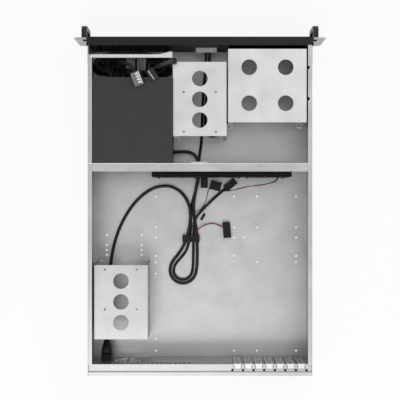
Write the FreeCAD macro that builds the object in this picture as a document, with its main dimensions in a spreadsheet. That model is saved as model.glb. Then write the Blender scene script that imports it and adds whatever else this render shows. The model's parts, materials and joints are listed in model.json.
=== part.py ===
import FreeCAD, Part
import math
import os
import re
import Sketcher

# A two-unit rackmount server case, 650 mm deep, with its lid off. Millimetres.
# +Z is up, the front faces -Y, the power supply stands on the +X side, and the
# origin is the centre of the underside.

SIZES = {
    # folded sheet
    "steel": 1.2,
    "thin_steel": 1.0,
    "cover_steel": 0.9,
    # the case
    "case_width": 430,
    "case_height": 88,
    "rim": 8,
    "rear_lip": 337,
    "rear_wall": 315.2,
    "front_wall": 297,
    "front_face": 313,
    "panel_steel": 1.5,
    "panel_half": 218.3,
    "rim_start": 279,
    "fold": 1.2,
    "floor_hole": 1.8,
    "board_rear": 302.9,
    "board_long": 227.33,
    "board_right": 88.9,
    "board_left": -193.04,
    "bracket_holes": 110.4,
    "lid_notch": 3.4,
    # rack ears and their handles
    "ear_steel": 2,
    "ear_half": 241.3,
    "ear_leg": 47,
    "ear_round": 9,
    "slot_across": 232.55,
    "slot_low": 37.7,
    "slot_pitch": 44.45,
    "slot_wide": 10,
    "slot_high": 7,
    "handle_inside": 218.6,
    "handle_wide": 10,
    "handle_reach": 25.5,
    "handle_low": 12,
    "handle_high": 76,
    "handle_bar": 9,
    "handle_round": 9,
    # front controls
    "power_across": 16,
    "reset_across": 32,
    "control_up": 60,
    "power_radius": 6,
    "reset_radius": 2.5,
    "button_gap": 0.25,
    "button_proud": 1.5,
    "usb_across": -12,
    "usb_up": 57,
    # fan row
    "fan": 80,
    "fan_deep": 25,
    "fan_front": 71,
    "fan_pitch": 88,
    "fan_middle": -42,
    "fan_up": 42.4,
    "fan_bore": 38.2,
    "blade_tip": 37,
    "hub": 17,
    "carrier_left": 176.3,
    "carrier_wide": 268.9,
    "bar_front": 70.4,
    "bar_back": 54.7,
    "bar_foot": 83.8,
    # power supply
    "psu_low": 52.8,
    "psu_high": 206.9,
    "psu_front": 235.5,
    "psu_back": 72,
    "psu_top": 86,
    "harness_across": 158,
    "harness_up": 44,
    "lead_in_along": -95,
    "lead_in_up": 22,
    "side_plug_up": 62,
    "clip_deep": 9,
    # brace over the cables
    "brace_front": 279.3,
    "brace_back": 272.9,
    "brace_end": 53.2,
    # drive bracket and cage
    "bracket_half": 52.1,
    "bracket_long": 142.8,
    "bracket_top": 78,
    "foot_out": 5.5,
    "foot": 12,
    "big_hole": 15,
    "big_pitch": 40,
    "bracket_middle": 72,
    "ssd_across": 61.72,
    "ssd_along": 76.6,
    "ssd_middle": 96.1,
    "small_hole": 1.8,
    "front_bracket_across": 0.4,
    "front_bracket_start": 266,
    "rear_bracket_across": 152.3,
    "rear_bracket_start": 268.3,
    "cage_half": 75.6,
    "cage_long": 141,
    "cage_top": 85,
    "cage_across": -129.4,
    "cage_start": 290,
    "cage_hole_across": 35,
    "cage_hole_first": 35.3,
    "cage_hole_pitch": 69,
    "ledge_up": 41.5,
    # rear wall
    "shelf_top": 84.2,
    "shelf_back": 331.2,
    "lip_front": 330,
    "bay_first": -72.3,
    "bay_pitch": 20.32,
    "bay_opening": 14.6,
    "cover_wide": 18.4,
    "cover_foot": 8,
    "cover_back": 328.5,
    "cover_screw_aside": 10.16,
    "cover_screw": 326,
    "port_low": -61.2,
    "port_high": 97.55,
    "port_foot": 7.5,
    "port_top": 51.95,
    "port_lap": 1.5,
    "rear_fan_across": 141,
    "rear_fan_up": 42,
    "inlet_across": 184,
    "inlet_up": 32,
    "inlet_wide": 20,
    "inlet_high": 27,
}

doc = FreeCAD.newDocument("server_case")
sheet = doc.addObject("Spreadsheet::Sheet", "dims")
for row, (alias, number) in enumerate(SIZES.items(), start=1):
    sheet.set(f"A{row}", alias)
    sheet.set(f"B{row}", str(number))
    sheet.setAlias(f"B{row}", alias)
doc.recompute()

SUBPARTS = []


# ---------------------------------------------------------------- helpers

def linked(text):
    """An expression in which every name is read from the sheet."""
    return re.sub(r"[a-z_]+", lambda name: "dims." + name.group(), str(text))


def size(text):
    """The present value of such an expression."""
    return float(sheet.evalExpression(str(text)))


def rectangle(x0, y0, x1, y1):
    return [(x0, y0), (x1, y0), (x1, y1), (x0, y1)]


def new_body(name):
    """A sub-part; its label names its file."""
    body = doc.addObject("PartDesign::Body", name)
    SUBPARTS.append(body)
    return body


def place(body, x="0", y="0", z="0", turn=0):
    """Move a body, turned about the vertical, to a place that follows the sheet."""
    body.Placement = FreeCAD.Placement(
        FreeCAD.Vector(size(x), size(y), size(z)), FreeCAD.Rotation(FreeCAD.Vector(0, 0, 1), turn)
    )
    for axis, text in (("x", x), ("y", y), ("z", z)):
        body.setExpression(f"Placement.Base.{axis}", linked(text))


def add_outline(sketch, corners):
    """A closed outline in a sketch: each corner's two places follow the sheet."""
    first = sketch.GeometryCount
    count = len(corners)
    spots = [FreeCAD.Vector(size(x), size(y), 0) for x, y in corners]
    for index, spot in enumerate(spots):
        sketch.addGeometry(Part.LineSegment(spot, spots[(index + 1) % count]))
    rules = [
        Sketcher.Constraint("Coincident", first + index, 2, first + (index + 1) % count, 1)
        for index in range(count)
    ]
    for index, spot in enumerate(spots):
        rules.append(Sketcher.Constraint("DistanceX", -1, 1, first + index, 1, spot.x))
        rules.append(Sketcher.Constraint("DistanceY", -1, 1, first + index, 1, spot.y))
    bound = sketch.ConstraintCount + count
    sketch.addConstraint(rules)
    for index, pair in enumerate(corners):
        for side, text in enumerate(pair):
            sketch.setExpression(f"Constraints[{bound + 2 * index + side}]", linked(text))


def add_circle(sketch, x, y, radius):
    """A circle in a sketch whose place and radius follow the sheet."""
    spot = FreeCAD.Vector(size(x), size(y), 0)
    edge = sketch.addGeometry(Part.Circle(spot, FreeCAD.Vector(0, 0, 1), size(radius)))
    bound = sketch.ConstraintCount
    sketch.addConstraint([
        Sketcher.Constraint("DistanceX", -1, 1, edge, 3, spot.x),
        Sketcher.Constraint("DistanceY", -1, 1, edge, 3, spot.y),
        Sketcher.Constraint("Radius", edge, size(radius)),
    ])
    for index, text in enumerate((x, y, radius)):
        sketch.setExpression(f"Constraints[{bound + index}]", linked(text))


def extrude(body, kind, plane, start, length, outlines=(), circles=()):
    """Pad or pocket from a plane's offset, along its normal.

    The normals are +Z for XY, -Y for XZ and +X for YZ.
    """
    index = len(body.Group)
    sketch = body.newObject("Sketcher::SketchObject", f"{body.Name}_sketch_{index}")
    origin_plane = next(item for item in body.Origin.OriginFeatures if item.Role == plane + "_Plane")
    sketch.AttachmentSupport = (origin_plane, "")
    sketch.MapMode = "FlatFace"
    sketch.setExpression("AttachmentOffset.Base.z", linked(start))
    for corners in outlines:
        add_outline(sketch, corners)
    for circle in circles:
        add_circle(sketch, *circle)
    feature = body.newObject("PartDesign::" + kind, f"{body.Name}_{kind.lower()}_{index}")
    feature.Profile = sketch
    feature.setExpression("Length", linked(length))
    feature.Reversed = kind == "Pocket"
    doc.recompute()
    return feature


def pad(body, plane, start, length, outlines=(), circles=()):
    return extrude(body, "Pad", plane, start, length, outlines, circles)


def cut(body, plane, start, length, outlines=(), circles=()):
    before = body.Shape.Volume
    pocket = extrude(body, "Pocket", plane, start, length, outlines, circles)
    if body.Shape.Volume > before - 0.01:
        raise ValueError(pocket.Name + " cuts nothing")
    return pocket


def round_edges(body, radius, chosen):
    """Fillet the edges of a body that the test picks."""
    tip = body.Tip
    names = [f"Edge{index}" for index, edge in enumerate(tip.Shape.Edges, start=1) if chosen(edge)]
    if not names:
        raise ValueError(body.Name + " has no such edge")
    fillet = body.newObject("PartDesign::Fillet", f"{body.Name}_fillet_{len(body.Group)}")
    fillet.Base = (tip, names)
    fillet.setExpression("Radius", linked(radius))
    doc.recompute()
    return fillet


def runs_along(edge, axis, length=0):
    """Whether an edge is straight, along one axis and longer than a length."""
    if edge.Curve.TypeId != "Part::GeomLine" or edge.Length < length:
        return False
    return abs(getattr(edge.Curve.Direction, axis)) > 0.999


def middle(edge):
    return edge.CenterOfMass


# ---------------------------------------------------------------- the case

def chassis_base():
    """Floor, side walls and the rims that the lid rests on, folded from one sheet."""
    body = new_body("chassis_base")
    half, top, inner = "case_width/2", "case_height", "case_width/2 - steel"
    right = [
        (half, "0"), (half, top), (f"{half} - rim", top),
        (f"{half} - rim", "case_height - steel"), (inner, "case_height - steel"), (inner, "steel"),
    ]
    left = [("-(" + x + ")", z) for x, z in reversed(right)]
    pad(body, "XZ", "-rear_lip", "rear_lip + front_face - panel_steel", [right + left])
    round_edges(
        body, "fold",
        lambda edge: runs_along(edge, "y", 600) and abs(abs(middle(edge).x) - size(half)) < 0.01,
    )
    # behind the rear wall there is no floor, and the rims stop at the shelf
    cut(body, "XY", "0", "steel", [
        rectangle(f"-({inner})", "rear_wall + steel", inner, "rear_lip + 1"),
    ])
    cut(body, "XY", "case_height - 2*steel", "3*steel", [
        rectangle(f"-({inner})", "rear_wall + steel", inner, "rear_lip + 1"),
    ])
    # the front panel's flange lies in this step
    cut(body, "XY", "case_height - panel_steel", "2*steel", [
        rectangle(f"-{half} - 1", "-front_face", f"{half} + 1", "-front_wall"),
    ])
    cut(body, "XY", "case_height - panel_steel", "2*steel", [
        rectangle(f"{half} - rim - 1", "-front_wall - 1", inner, "-rim_start"),
    ])
    corners = [
        (across, f"board_rear - {forward}", "floor_hole")
        for across in ("board_right", "board_left") for forward in ("0", "board_long")
    ]
    cut(body, "XY", "-1", "steel + 2", circles=corners)
    for group in floor_holes():
        cut(body, "XY", "-1", "steel + 2", group)
    cut(body, "XY", "case_height - 2*steel", "3*steel", circles=[
        ("-case_width/2 + rim", "-254", "lid_notch"), ("-case_width/2 + rim", "-194", "lid_notch"),
    ])


def octagon(x, y, radius):
    """An eight-sided stand-in for one of many small round holes, of about its area."""
    return [
        (f"{x} + {math.cos(turn):.4f}*{radius}", f"{y} + {math.sin(turn):.4f}*{radius}")
        for turn in (math.radians(22.5 + 45 * k) for k in range(8))
    ]


def floor_holes():
    """Main-board holes, counted forward from the rear row, and holes for the rear bracket."""
    columns = {
        "board_right": (23.8, 154.94, 177.8, 190.5, 247.65, 309.88),
        "-68.58": (0, 190.5, 227.33, 247.65, 309.88),
        "-88.9": (227.33,),
        "-114.3": (0, 177.8, 247.65, 309.88),
        "board_left": (177.8, 190.5, 247.65, 309.88),
    }
    groups = [
        [octagon(across, f"board_rear - {forward}", "floor_hole") for forward in rows]
        for across, rows in columns.items()
    ]
    for side in (-1, 1):
        groups.append([
            octagon(f"rear_bracket_across + {side}*35", f"bracket_holes - {forward}", "floor_hole")
            for forward in (0, 10, 20, 40)
        ])
    return groups


def front_bulkhead():
    """The inner front wall: a channel that closes the floor and holds the controls' board."""
    body = new_body("front_bulkhead")
    front, back = "-(front_face - panel_steel)", "-front_wall"
    pad(body, "YZ", "-(case_width/2 - steel)", "case_width - 2*steel", [[
        (front, "steel"), (back, "steel"), (back, "case_height - panel_steel"),
        (front, "case_height - panel_steel"), (front, "case_height - panel_steel - steel"),
        ("-front_wall - steel", "case_height - panel_steel - steel"),
        ("-front_wall - steel", "2*steel"), (front, "2*steel"),
    ]])
    vents = [rectangle(str(x), "16", str(x + 6), "72") for x in range(60, 200, 12)]
    cut(body, "XZ", "front_wall - 1", "steel + 2", vents + [
        rectangle("cage_across - 74", "ledge_up", "cage_across + 74", "83.5"),
        rectangle("-24", "40", "0", "54"),
    ])


def front_panel():
    """The black outer face, with a flange over its top."""
    body = new_body("front_panel")
    front = "-front_face"
    back = "-(front_face - panel_steel)"
    pad(body, "YZ", "-panel_half", "2*panel_half", [[
        (front, "0"), (back, "0"), (back, "case_height - panel_steel"),
        ("-front_wall", "case_height - panel_steel"), ("-front_wall", "case_height"),
        (front, "case_height"),
    ]])
    cut(body, "XY", "case_height - panel_steel - 0.01", "2*panel_steel", [
        rectangle(f"{side}*case_width/2", back, f"{side}*(panel_half + 1)", "1 - front_wall")
        for side in (-1, 1)
    ])
    vents = [rectangle(str(x), "14", str(x + 4), "74") for x in range(60, 204, 9)]
    lights = [light_window(k, "1.6") for k in range(3)]
    cut(body, "XZ", "front_face - panel_steel - 1", "panel_steel + 2", vents + [
        rectangle("cage_across - 74.2", "ledge_up", "cage_across + 74.2", "83.5"),
        rectangle("usb_across - 6.8", "usb_up - 3.1", "usb_across + 6.8", "usb_up + 3.1"),
        rectangle("usb_across - 6.8", "usb_up - 17.1", "usb_across + 6.8", "usb_up - 10.9"),
    ] + lights, [
        ("power_across", "control_up", "power_radius + button_gap"),
        ("reset_across", "control_up", "reset_radius + button_gap"),
    ])


def light_window(index, half):
    """One of the three small square windows for the status lights."""
    across, up = f"power_across + 8*{index}", "control_up - 14"
    return rectangle(f"{across} - {half}", f"{up} - {half}", f"{across} + {half}", f"{up} + {half}")


def bay_cover():
    """Blank plastic cover in the drive opening, with a step all round."""
    body = new_body("bay_cover")
    pad(body, "XZ", "front_face - panel_steel", "panel_steel", [
        rectangle("cage_across - 74", "ledge_up + 0.2", "cage_across + 74", "83.3"),
    ])
    pad(body, "XZ", "front_face - panel_steel - 2", "2", [
        rectangle("cage_across - 75.5", "ledge_up - 1.3", "cage_across + 75.5", "84.8"),
    ])
    cut(body, "XZ", "front_face - panel_steel - 3", "2.2", [
        rectangle("cage_across - 71", "ledge_up + 3", "cage_across + 71", "80.5"),
    ])


def control_parts():
    """Controls' board behind the panel, its sockets and lights, and the two push buttons."""
    body = new_body("control_board")
    pad(body, "XZ", "front_wall + steel", "1.6", [rectangle("-24", "34", "40", "68")])
    pad(body, "XZ", "front_wall + steel + 1.6", "7", [
        rectangle("power_across - 5", "control_up - 5", "power_across + 5", "control_up + 5"),
        rectangle("reset_across - 3", "control_up - 3", "reset_across + 3", "control_up + 3"),
    ])
    sockets = new_body("usb_sockets")
    for drop in ("0", "14"):
        up = f"usb_up - {drop}"
        pad(sockets, "XZ", "front_wall + steel + 1.6", "12.6", [
            rectangle("usb_across - 6.6", f"{up} - 2.9", "usb_across + 6.6", f"{up} + 2.9"),
        ])
        cut(sockets, "XZ", "front_wall + steel + 4", "12", [
            rectangle("usb_across - 6", f"{up} - 2.3", "usb_across + 6", f"{up} + 0.3"),
            rectangle("usb_across - 6", f"{up} + 1.5", "usb_across + 6", f"{up} + 2.3"),
        ])
    lights = new_body("status_lights")
    pad(lights, "XZ", "front_wall + steel + 1.6", "13", [light_window(k, "1.5") for k in range(3)])
    for name, across, radius in (
        ("power_button", "power_across", "power_radius"), ("reset_button", "reset_across", "reset_radius"),
    ):
        button = new_body(name)
        pad(button, "XZ", "front_face - panel_steel - 0.1", "panel_steel + 0.1 + button_proud",
            circles=[(across, "control_up", radius)])
        pad(button, "XZ", "front_face - panel_steel - 1.3", "1.2",
            circles=[(across, "control_up", f"{radius} + 1")])


def rack_ear(name, side):
    """Angle that bolts the case into a rack: a leg on the side wall and a slotted plate."""
    body = new_body(name)
    back = "-(front_face - panel_steel)"
    profile = [
        ("case_width/2", back), ("ear_half", back), ("ear_half", f"{back} + ear_steel"),
        ("case_width/2 + ear_steel", f"{back} + ear_steel"),
        ("case_width/2 + ear_steel", f"{back} + ear_leg"), ("case_width/2", f"{back} + ear_leg"),
    ]
    pad(body, "XY", "0", "case_height", [[(f"{side}*({x})", y) for x, y in profile]])
    cut(body, "YZ", f"{side}*(case_width/2 + 1) - 2", "4", [
        rectangle(f"{back} + ear_steel + 6", "-1", "-200", "12"),
        rectangle(f"{back} + ear_steel + 6", "76", "-200", "case_height + 1"),
    ])
    slots = [
        rectangle(
            f"{side}*slot_across - slot_wide/2", f"{up} - slot_high/2",
            f"{side}*slot_across + slot_wide/2", f"{up} + slot_high/2",
        )
        for up in ("slot_low", "slot_low + slot_pitch")
    ]
    cut(body, "XZ", "front_face - panel_steel - ear_steel - 1", "ear_steel + 2", slots)
    round_edges(
        body, "slot_high/2 - 0.01",
        lambda edge: runs_along(edge, "y") and abs(middle(edge).x) < size("slot_across + 6")
        and abs(middle(edge).x) > size("slot_across - 6") and edge.Length < size("ear_steel") + 0.01,
    )
    round_edges(
        body, "ear_round",
        lambda edge: runs_along(edge, "y") and abs(middle(edge).x) > size("ear_half") - 0.01
        and middle(edge).z < 1,
    )
    round_edges(
        body, "2",
        lambda edge: runs_along(edge, "y") and abs(middle(edge).x) > size("ear_half") - 0.01
        and middle(edge).z > size("case_height") - 1,
    )


def handle(name, side):
    """Cast pull handle: an upright U screwed to the ear from behind."""
    body = new_body(name)
    back = "-(front_face - panel_steel)"
    inside = f"{side}*handle_inside" if side > 0 else "-handle_inside - handle_wide"
    pad(body, "YZ", inside, "handle_wide", [[
        (back, "handle_low"), (f"{back} - handle_reach", "handle_low"),
        (f"{back} - handle_reach", "handle_high"), (back, "handle_high"),
        (back, "handle_high - handle_bar"),
        (f"{back} - handle_reach + handle_bar", "handle_high - handle_bar"),
        (f"{back} - handle_reach + handle_bar", "handle_low + handle_bar"),
        (back, "handle_low + handle_bar"),
    ]])
    reach = size("-(front_face - panel_steel) - handle_reach")
    round_edges(body, "handle_round", lambda edge: runs_along(edge, "x") and middle(edge).y < reach + 0.01)
    round_edges(
        body, "handle_round/2",
        lambda edge: runs_along(edge, "x") and abs(middle(edge).y - reach - size("handle_bar")) < 0.01,
    )


# ---------------------------------------------------------------- inside

def bridge(name, half, length, top, round_holes, small_holes):
    """A bracket that stands over the floor on two walls with feet turned inward."""
    body = new_body(name)
    profile = [
        (f"{half} - foot", "steel"), (half, "steel"), (half, top), (f"-{half}", top),
        (f"-{half}", "steel"), (f"foot - {half}", "steel"), (f"foot - {half}", "steel + thin_steel"),
        (f"thin_steel - {half}", "steel + thin_steel"), (f"thin_steel - {half}", f"{top} - thin_steel"),
        (f"{half} - thin_steel", f"{top} - thin_steel"), (f"{half} - thin_steel", "steel + thin_steel"),
        (f"{half} - foot", "steel + thin_steel"),
    ]
    pad(body, "XZ", f"-{length} - foot_out", f"{length} + foot_out", [profile])
    round_edges(
        body, "thin_steel",
        lambda edge: runs_along(edge, "y", 100) and middle(edge).z > size(top) - 0.01,
    )
    cut(body, "YZ", f"-{half} - 1", f"2*{half} + 2", [[
        (length, "26"), (f"{length} + foot_out + 1", "8"), (f"{length} + foot_out + 1", f"{top} + 1"),
        (length, f"{top} + 1"),
    ]])
    # side fixings for a drive
    cut(body, "YZ", f"-{half} - 1", f"2*{half} + 2", [
        rectangle(f"{along} - 4", f"{up} - 1.8", f"{along} + 4", f"{up} + 1.8")
        for along, up in (("28.5", f"{top} - 19"), ("70.1", f"{top} - 45"), ("130.1", f"{top} - 19"))
    ])
    cut(body, "XY", f"{top} - thin_steel - 1", "thin_steel + 2", circles=round_holes + small_holes)
    return body


def drive_bracket(name, across, start, turn):
    rounds = [("0", f"bracket_middle + {k}*big_pitch", "big_hole") for k in (-1, 0, 1)]
    smalls = [
        (f"{i}*ssd_across/2", f"ssd_middle + {j}*ssd_along/2", "small_hole")
        for i in (-1, 1) for j in (-1, 1)
    ]
    body = bridge(name, "bracket_half", "bracket_long", "bracket_top", rounds, smalls)
    place(body, across, start, "0", turn)


def optical_cage():
    """Wide bracket for a slim-line or half-height drive, with ledges that carry it."""
    rounds = [
        (f"{i}*cage_hole_across", f"cage_hole_first + {j}*cage_hole_pitch", "big_hole")
        for i in (-1, 1) for j in (0, 1)
    ]
    body = bridge("optical_cage", "cage_half", "cage_long", "cage_top", rounds, [])
    ledges = []
    for along in (20, 95):
        for side in (-1, 1):
            ledges.append(rectangle(
                f"{side}*(cage_half - thin_steel)", str(along),
                f"{side}*(cage_half - thin_steel - 9)", str(along + 28),
            ))
    pad(body, "XY", "ledge_up - thin_steel", "thin_steel", ledges)
    place(body, "cage_across", "-cage_start")


def power_supply():
    """Two folded shells: a tray with the end walls, and a cover with the sides."""
    tray = new_body("psu_tray")
    low, high = "-psu_front", "-psu_back"
    pad(tray, "YZ", "psu_low + thin_steel", "psu_high - psu_low - 2*thin_steel", [[
        (low, "steel"), (high, "steel"), (high, "psu_top - thin_steel"),
        (f"{high} - thin_steel", "psu_top - thin_steel"), (f"{high} - thin_steel", "steel + thin_steel"),
        (f"{low} + thin_steel", "steel + thin_steel"), (f"{low} + thin_steel", "psu_top - thin_steel"),
        (low, "psu_top - thin_steel"),
    ]])
    vents = [rectangle("62", str(up), "130", str(up + 7)) for up in range(20, 70, 14)]
    cut(tray, "XZ", "psu_front - thin_steel - 1", "thin_steel + 2", vents)
    cut(tray, "XZ", "psu_front - thin_steel - 1", "thin_steel + 2", [
        rectangle("harness_across - 19", "harness_up - 11", "harness_across + 19", "harness_up + 11"),
    ])
    cut(tray, "XZ", "psu_back - 1", "thin_steel + 2", [
        rectangle("100", str(up), "195", str(up + 9)) for up in range(14, 70, 16)
    ])
    cover = new_body("psu_cover")
    pad(cover, "XZ", "psu_back", "psu_front - psu_back", [[
        ("psu_low", "steel"), ("psu_low + thin_steel", "steel"),
        ("psu_low + thin_steel", "psu_top - thin_steel"), ("psu_high - thin_steel", "psu_top - thin_steel"),
        ("psu_high - thin_steel", "steel"), ("psu_high", "steel"), ("psu_high", "psu_top"),
        ("psu_low", "psu_top"),
    ]])
    round_edges(cover, "thin_steel", lambda edge: runs_along(edge, "y", 100)
                and middle(edge).z > size("psu_top") - 0.01)
    cut(cover, "YZ", "psu_low - 1", "thin_steel + 2", circles=[
        ("lead_in_along", "lead_in_up", "5.5"),
    ])
    core = new_body("psu_core")
    pad(core, "XY", "steel + thin_steel", "5", [rectangle("56", "-225", "202", "-82")])
    pad(core, "XY", "steel + thin_steel + 5", "58", [
        rectangle("70", "-205", "82", "-95"), rectangle("180", "-205", "192", "-95"),
    ])
    pad(core, "XY", "steel + thin_steel + 5", "42", [rectangle("108", "-175", "156", "-130")])


def psu_grommets():
    """Plastic bushes where the wires leave the power supply."""
    wires = new_body("harness_bush")
    hollow = rectangle("harness_across - 16", "harness_up - 8", "harness_across + 16", "harness_up + 8")
    pad(wires, "XZ", "psu_front - 3", "3", [
        rectangle("harness_across - 19", "harness_up - 11", "harness_across + 19", "harness_up + 11"), hollow,
    ])
    pad(wires, "XZ", "psu_front", "2", [
        rectangle("harness_across - 22", "harness_up - 14", "harness_across + 22", "harness_up + 14"), hollow,
    ])
    lead = new_body("lead_bush")
    pad(lead, "YZ", "psu_low - 2", "5", circles=[("lead_in_along", "lead_in_up", "5.4")])


def psu_brace():
    """Narrow strap over the cables, with one leg down to the floor."""
    body = new_body("psu_brace")
    end = "brace_end"
    top = "case_height - steel"
    pad(body, "XZ", "brace_back", "brace_front - brace_back", [[
        ("case_width/2 - steel", top), (end, top), (end, "steel"), (f"{end} + 14", "steel"),
        (f"{end} + 14", "2*steel"), (f"{end} + steel", "2*steel"), (f"{end} + steel", f"{top} - steel"),
        ("case_width/2 - steel", f"{top} - steel"),
    ]])
    pad(body, "XY", f"{top} - steel", "steel", [[
        (end, "-brace_front"), (end, "-brace_front - 5"), (f"{end} + 5", "-brace_front - 5"),
        (f"{end} + 25", "-brace_front"),
    ]])


def cross_bar():
    """Shallow channel from wall to wall over the fan row."""
    body = new_body("cross_bar")
    top = "case_height - steel"
    pad(body, "YZ", "-(case_width/2 - steel)", "case_width - 2*steel", [[
        ("-bar_front", top), ("-bar_front", "bar_foot"), ("-bar_front + steel", "bar_foot"),
        ("-bar_front + steel", f"{top} - steel"), ("-bar_back - steel", f"{top} - steel"),
        ("-bar_back - steel", "bar_foot"), ("-bar_back", "bar_foot"), ("-bar_back", top),
    ]])
    pad(body, "XY", f"{top} - steel", "steel", [
        rectangle("-15", "-bar_front - 3", "17", "-bar_front"),
    ])


def fan_across(index):
    return f"fan_middle + {1 - index}*fan_pitch"


def fan_carrier():
    """Wall with flanges above and below that holds the three fans."""
    body = new_body("fan_carrier")
    front, back = "-fan_front", "-fan_front + fan_deep + steel"
    low, high = "fan_up - fan/2", "fan_up + fan/2"
    pad(body, "YZ", "-carrier_left", "carrier_wide", [[
        (back, f"{low} - steel"), (back, f"{high} + steel"), (front, f"{high} + steel"), (front, high),
        (f"{back} - steel", high), (f"{back} - steel", low), (front, low), (front, f"{low} - steel"),
    ]])
    gap = f"{fan_across(0)} - fan_pitch/2"
    cut(body, "XZ", "fan_front - fan_deep - steel - 1", "steel + 2",
        [rectangle(f"{gap} - 3.6", "steel + steel", f"{gap} + 3.6", "40")],
        [(fan_across(index), "fan_up", "fan_bore + 0.3") for index in range(3)])
    cut(body, "XY", high, "2*steel", [
        [("-carrier_left - 1", f"{front} - 1"), ("-carrier_left + 14", f"{front} - 1"),
         ("-carrier_left - 1", f"{front} + 14")],
        [("carrier_wide - carrier_left + 1", f"{front} - 1"),
         ("carrier_wide - carrier_left + 1", f"{front} + 14"),
         ("carrier_wide - carrier_left - 14", f"{front} - 1")],
    ])


def fan_frame(index):
    """Square moulded housing: two flanges joined by a round duct, and the motor's spider."""
    body = new_body(f"fan_frame_{index + 1}")
    half = "fan/2"
    across, front = fan_across(index), "fan_front"
    pad(body, "XZ", f"{front} - fan_deep", "fan_deep", [rectangle(
        f"{across} - {half}", f"fan_up - {half}", f"{across} + {half}", f"fan_up + {half}",
    )], [(across, "fan_up", "fan_bore")])
    # the four corners are open between the flanges
    corners = []
    for i in (-1, 1):
        for j in (-1, 1):
            x, z = f"{across} + {i}*{half}", f"fan_up + {j}*{half}"
            corners.append([
                (f"{x} + {i}", f"{z} + {j}"), (f"{x} - {i}*20", f"{z} + {j}"),
                (f"{x} - {i}*16.5", f"{z} - {j}*4.5"), (f"{x} - {i}*4.5", f"{z} - {j}*16.5"),
                (f"{x} + {i}", f"{z} - {j}*20"),
            ])
    cut(body, "XZ", f"{front} - fan_deep + 4", "fan_deep - 8", corners)
    pad(body, "XZ", f"{front} - fan_deep", "3.5", circles=[(across, "fan_up", "hub")])
    pad(body, "XZ", f"{front} - fan_deep", "2.5", [
        rectangle(f"{across} - 2", "fan_up + hub - 1", f"{across} + 2", "fan_up + fan_bore + 0.5"),
        rectangle(f"{across} - 2", "fan_up - fan_bore - 0.5", f"{across} + 2", "fan_up - hub + 1"),
        rectangle(f"{across} + hub - 1", "fan_up - 2", f"{across} + fan_bore + 0.5", "fan_up + 2"),
        rectangle(f"{across} - fan_bore - 0.5", "fan_up - 2", f"{across} - hub + 1", "fan_up + 2"),
    ])


def blade():
    """One flat pitched fan blade, wider at its swept tip."""
    root, tip = size("hub - 2"), size("blade_tip - 2")
    outline = [(-8, root), (8, root), (14, tip), (-7, tip)]
    plate = Part.Face(Part.makePolygon([FreeCAD.Vector(x, 0, z) for x, z in outline + outline[:1]]))
    solid = plate.extrude(FreeCAD.Vector(0, 1, 0))
    solid.rotate(FreeCAD.Vector(), FreeCAD.Vector(0, 0, 1), 35)
    return solid


def fan_rotor(index, one_blade):
    """Closed hub with seven blades, clear of the frame's motor seat."""
    across = size(fan_across(index))
    front, deep = size("fan_front"), size("fan_deep")
    hub, height = size("hub"), size("fan_up")
    back = FreeCAD.Vector(0, 1, 0)
    rotor = Part.makeCylinder(hub, deep - 6, FreeCAD.Vector(0, 2, 0), back)
    for step in range(7):
        turned = one_blade.copy()
        turned.rotate(FreeCAD.Vector(), back, step * 360 / 7)
        turned.translate(FreeCAD.Vector(0, 2 + (deep - 6) / 2, 0))
        rotor = rotor.fuse(turned)
    feature = doc.addObject("Part::Feature", f"fan_rotor_{index + 1}")
    feature.Shape = rotor.removeSplitter()
    feature.Placement = FreeCAD.Placement(FreeCAD.Vector(across, -front, height), FreeCAD.Rotation())
    SUBPARTS.append(feature)


# ---------------------------------------------------------------- the rear

def bay_across(index):
    return f"bay_first - {index}*bay_pitch"


def rear_panel():
    """Rear wall with a shelf for the slot covers and a raised lip for the lid."""
    body = new_body("rear_panel")
    wall, lip = "rear_wall", "case_height - steel"
    pad(body, "YZ", "-(case_width/2 - steel)", "case_width - 2*steel", [[
        (f"{wall} - 7", "steel"), (wall, "steel"), (f"{wall} + steel", "steel"),
        (f"{wall} + steel", "shelf_top - steel"), ("shelf_back", "shelf_top - steel"),
        ("shelf_back", lip), ("rear_lip", lip), ("rear_lip", "case_height"), ("lip_front", "case_height"),
        ("lip_front", "shelf_top"), (wall, "shelf_top"), (wall, "2*steel"), (f"{wall} - 7", "2*steel"),
    ]])
    bays = [
        rectangle(f"{bay_across(k)} - bay_opening/2", "12", f"{bay_across(k)} + bay_opening/2", "79")
        for k in range(7)
    ]
    vents = [rectangle(str(x), "57", str(x + 5), "77") for x in range(18, 96, 9)]
    inlet = rectangle(
        "inlet_across - inlet_wide/2", "inlet_up - inlet_high/2",
        "inlet_across + inlet_wide/2", "inlet_up + inlet_high/2",
    )
    ports = rectangle("port_low", "port_foot", "port_high", "port_top")
    fan_screws = [
        (f"rear_fan_across + {i}*25", f"rear_fan_up + {j}*25", "2.2") for i in (-1, 1) for j in (-1, 1)
    ]
    cut(body, "XZ", f"-{wall} - steel - 1", "steel + 2", bays + vents + [inlet, ports],
        fan_screws)
    cut(body, "XZ", f"-{wall} - steel - 1", "steel + 2", grille_slots())


def grille_slots():
    """Curved slots of a punched finger guard, four to a ring."""
    slots = []
    for inner, outer in ((6, 10.5), (13.5, 18), (21, 25.5)):
        for quarter in range(4):
            gap = 2.2 / inner
            ends = (quarter * math.pi / 2 + gap, (quarter + 1) * math.pi / 2 - 2.2 / outer)
            steps = 3 if inner < 12 else 5
            turns = [ends[0] + (ends[1] - ends[0]) * k / steps for k in range(steps + 1)]
            ring = [(outer, turn) for turn in turns] + [(inner, turn) for turn in reversed(turns)]
            slots.append([
                (f"rear_fan_across + {radius * math.cos(turn):.3f}",
                 f"rear_fan_up + {radius * math.sin(turn):.3f}")
                for radius, turn in ring
            ])
    return slots


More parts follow.
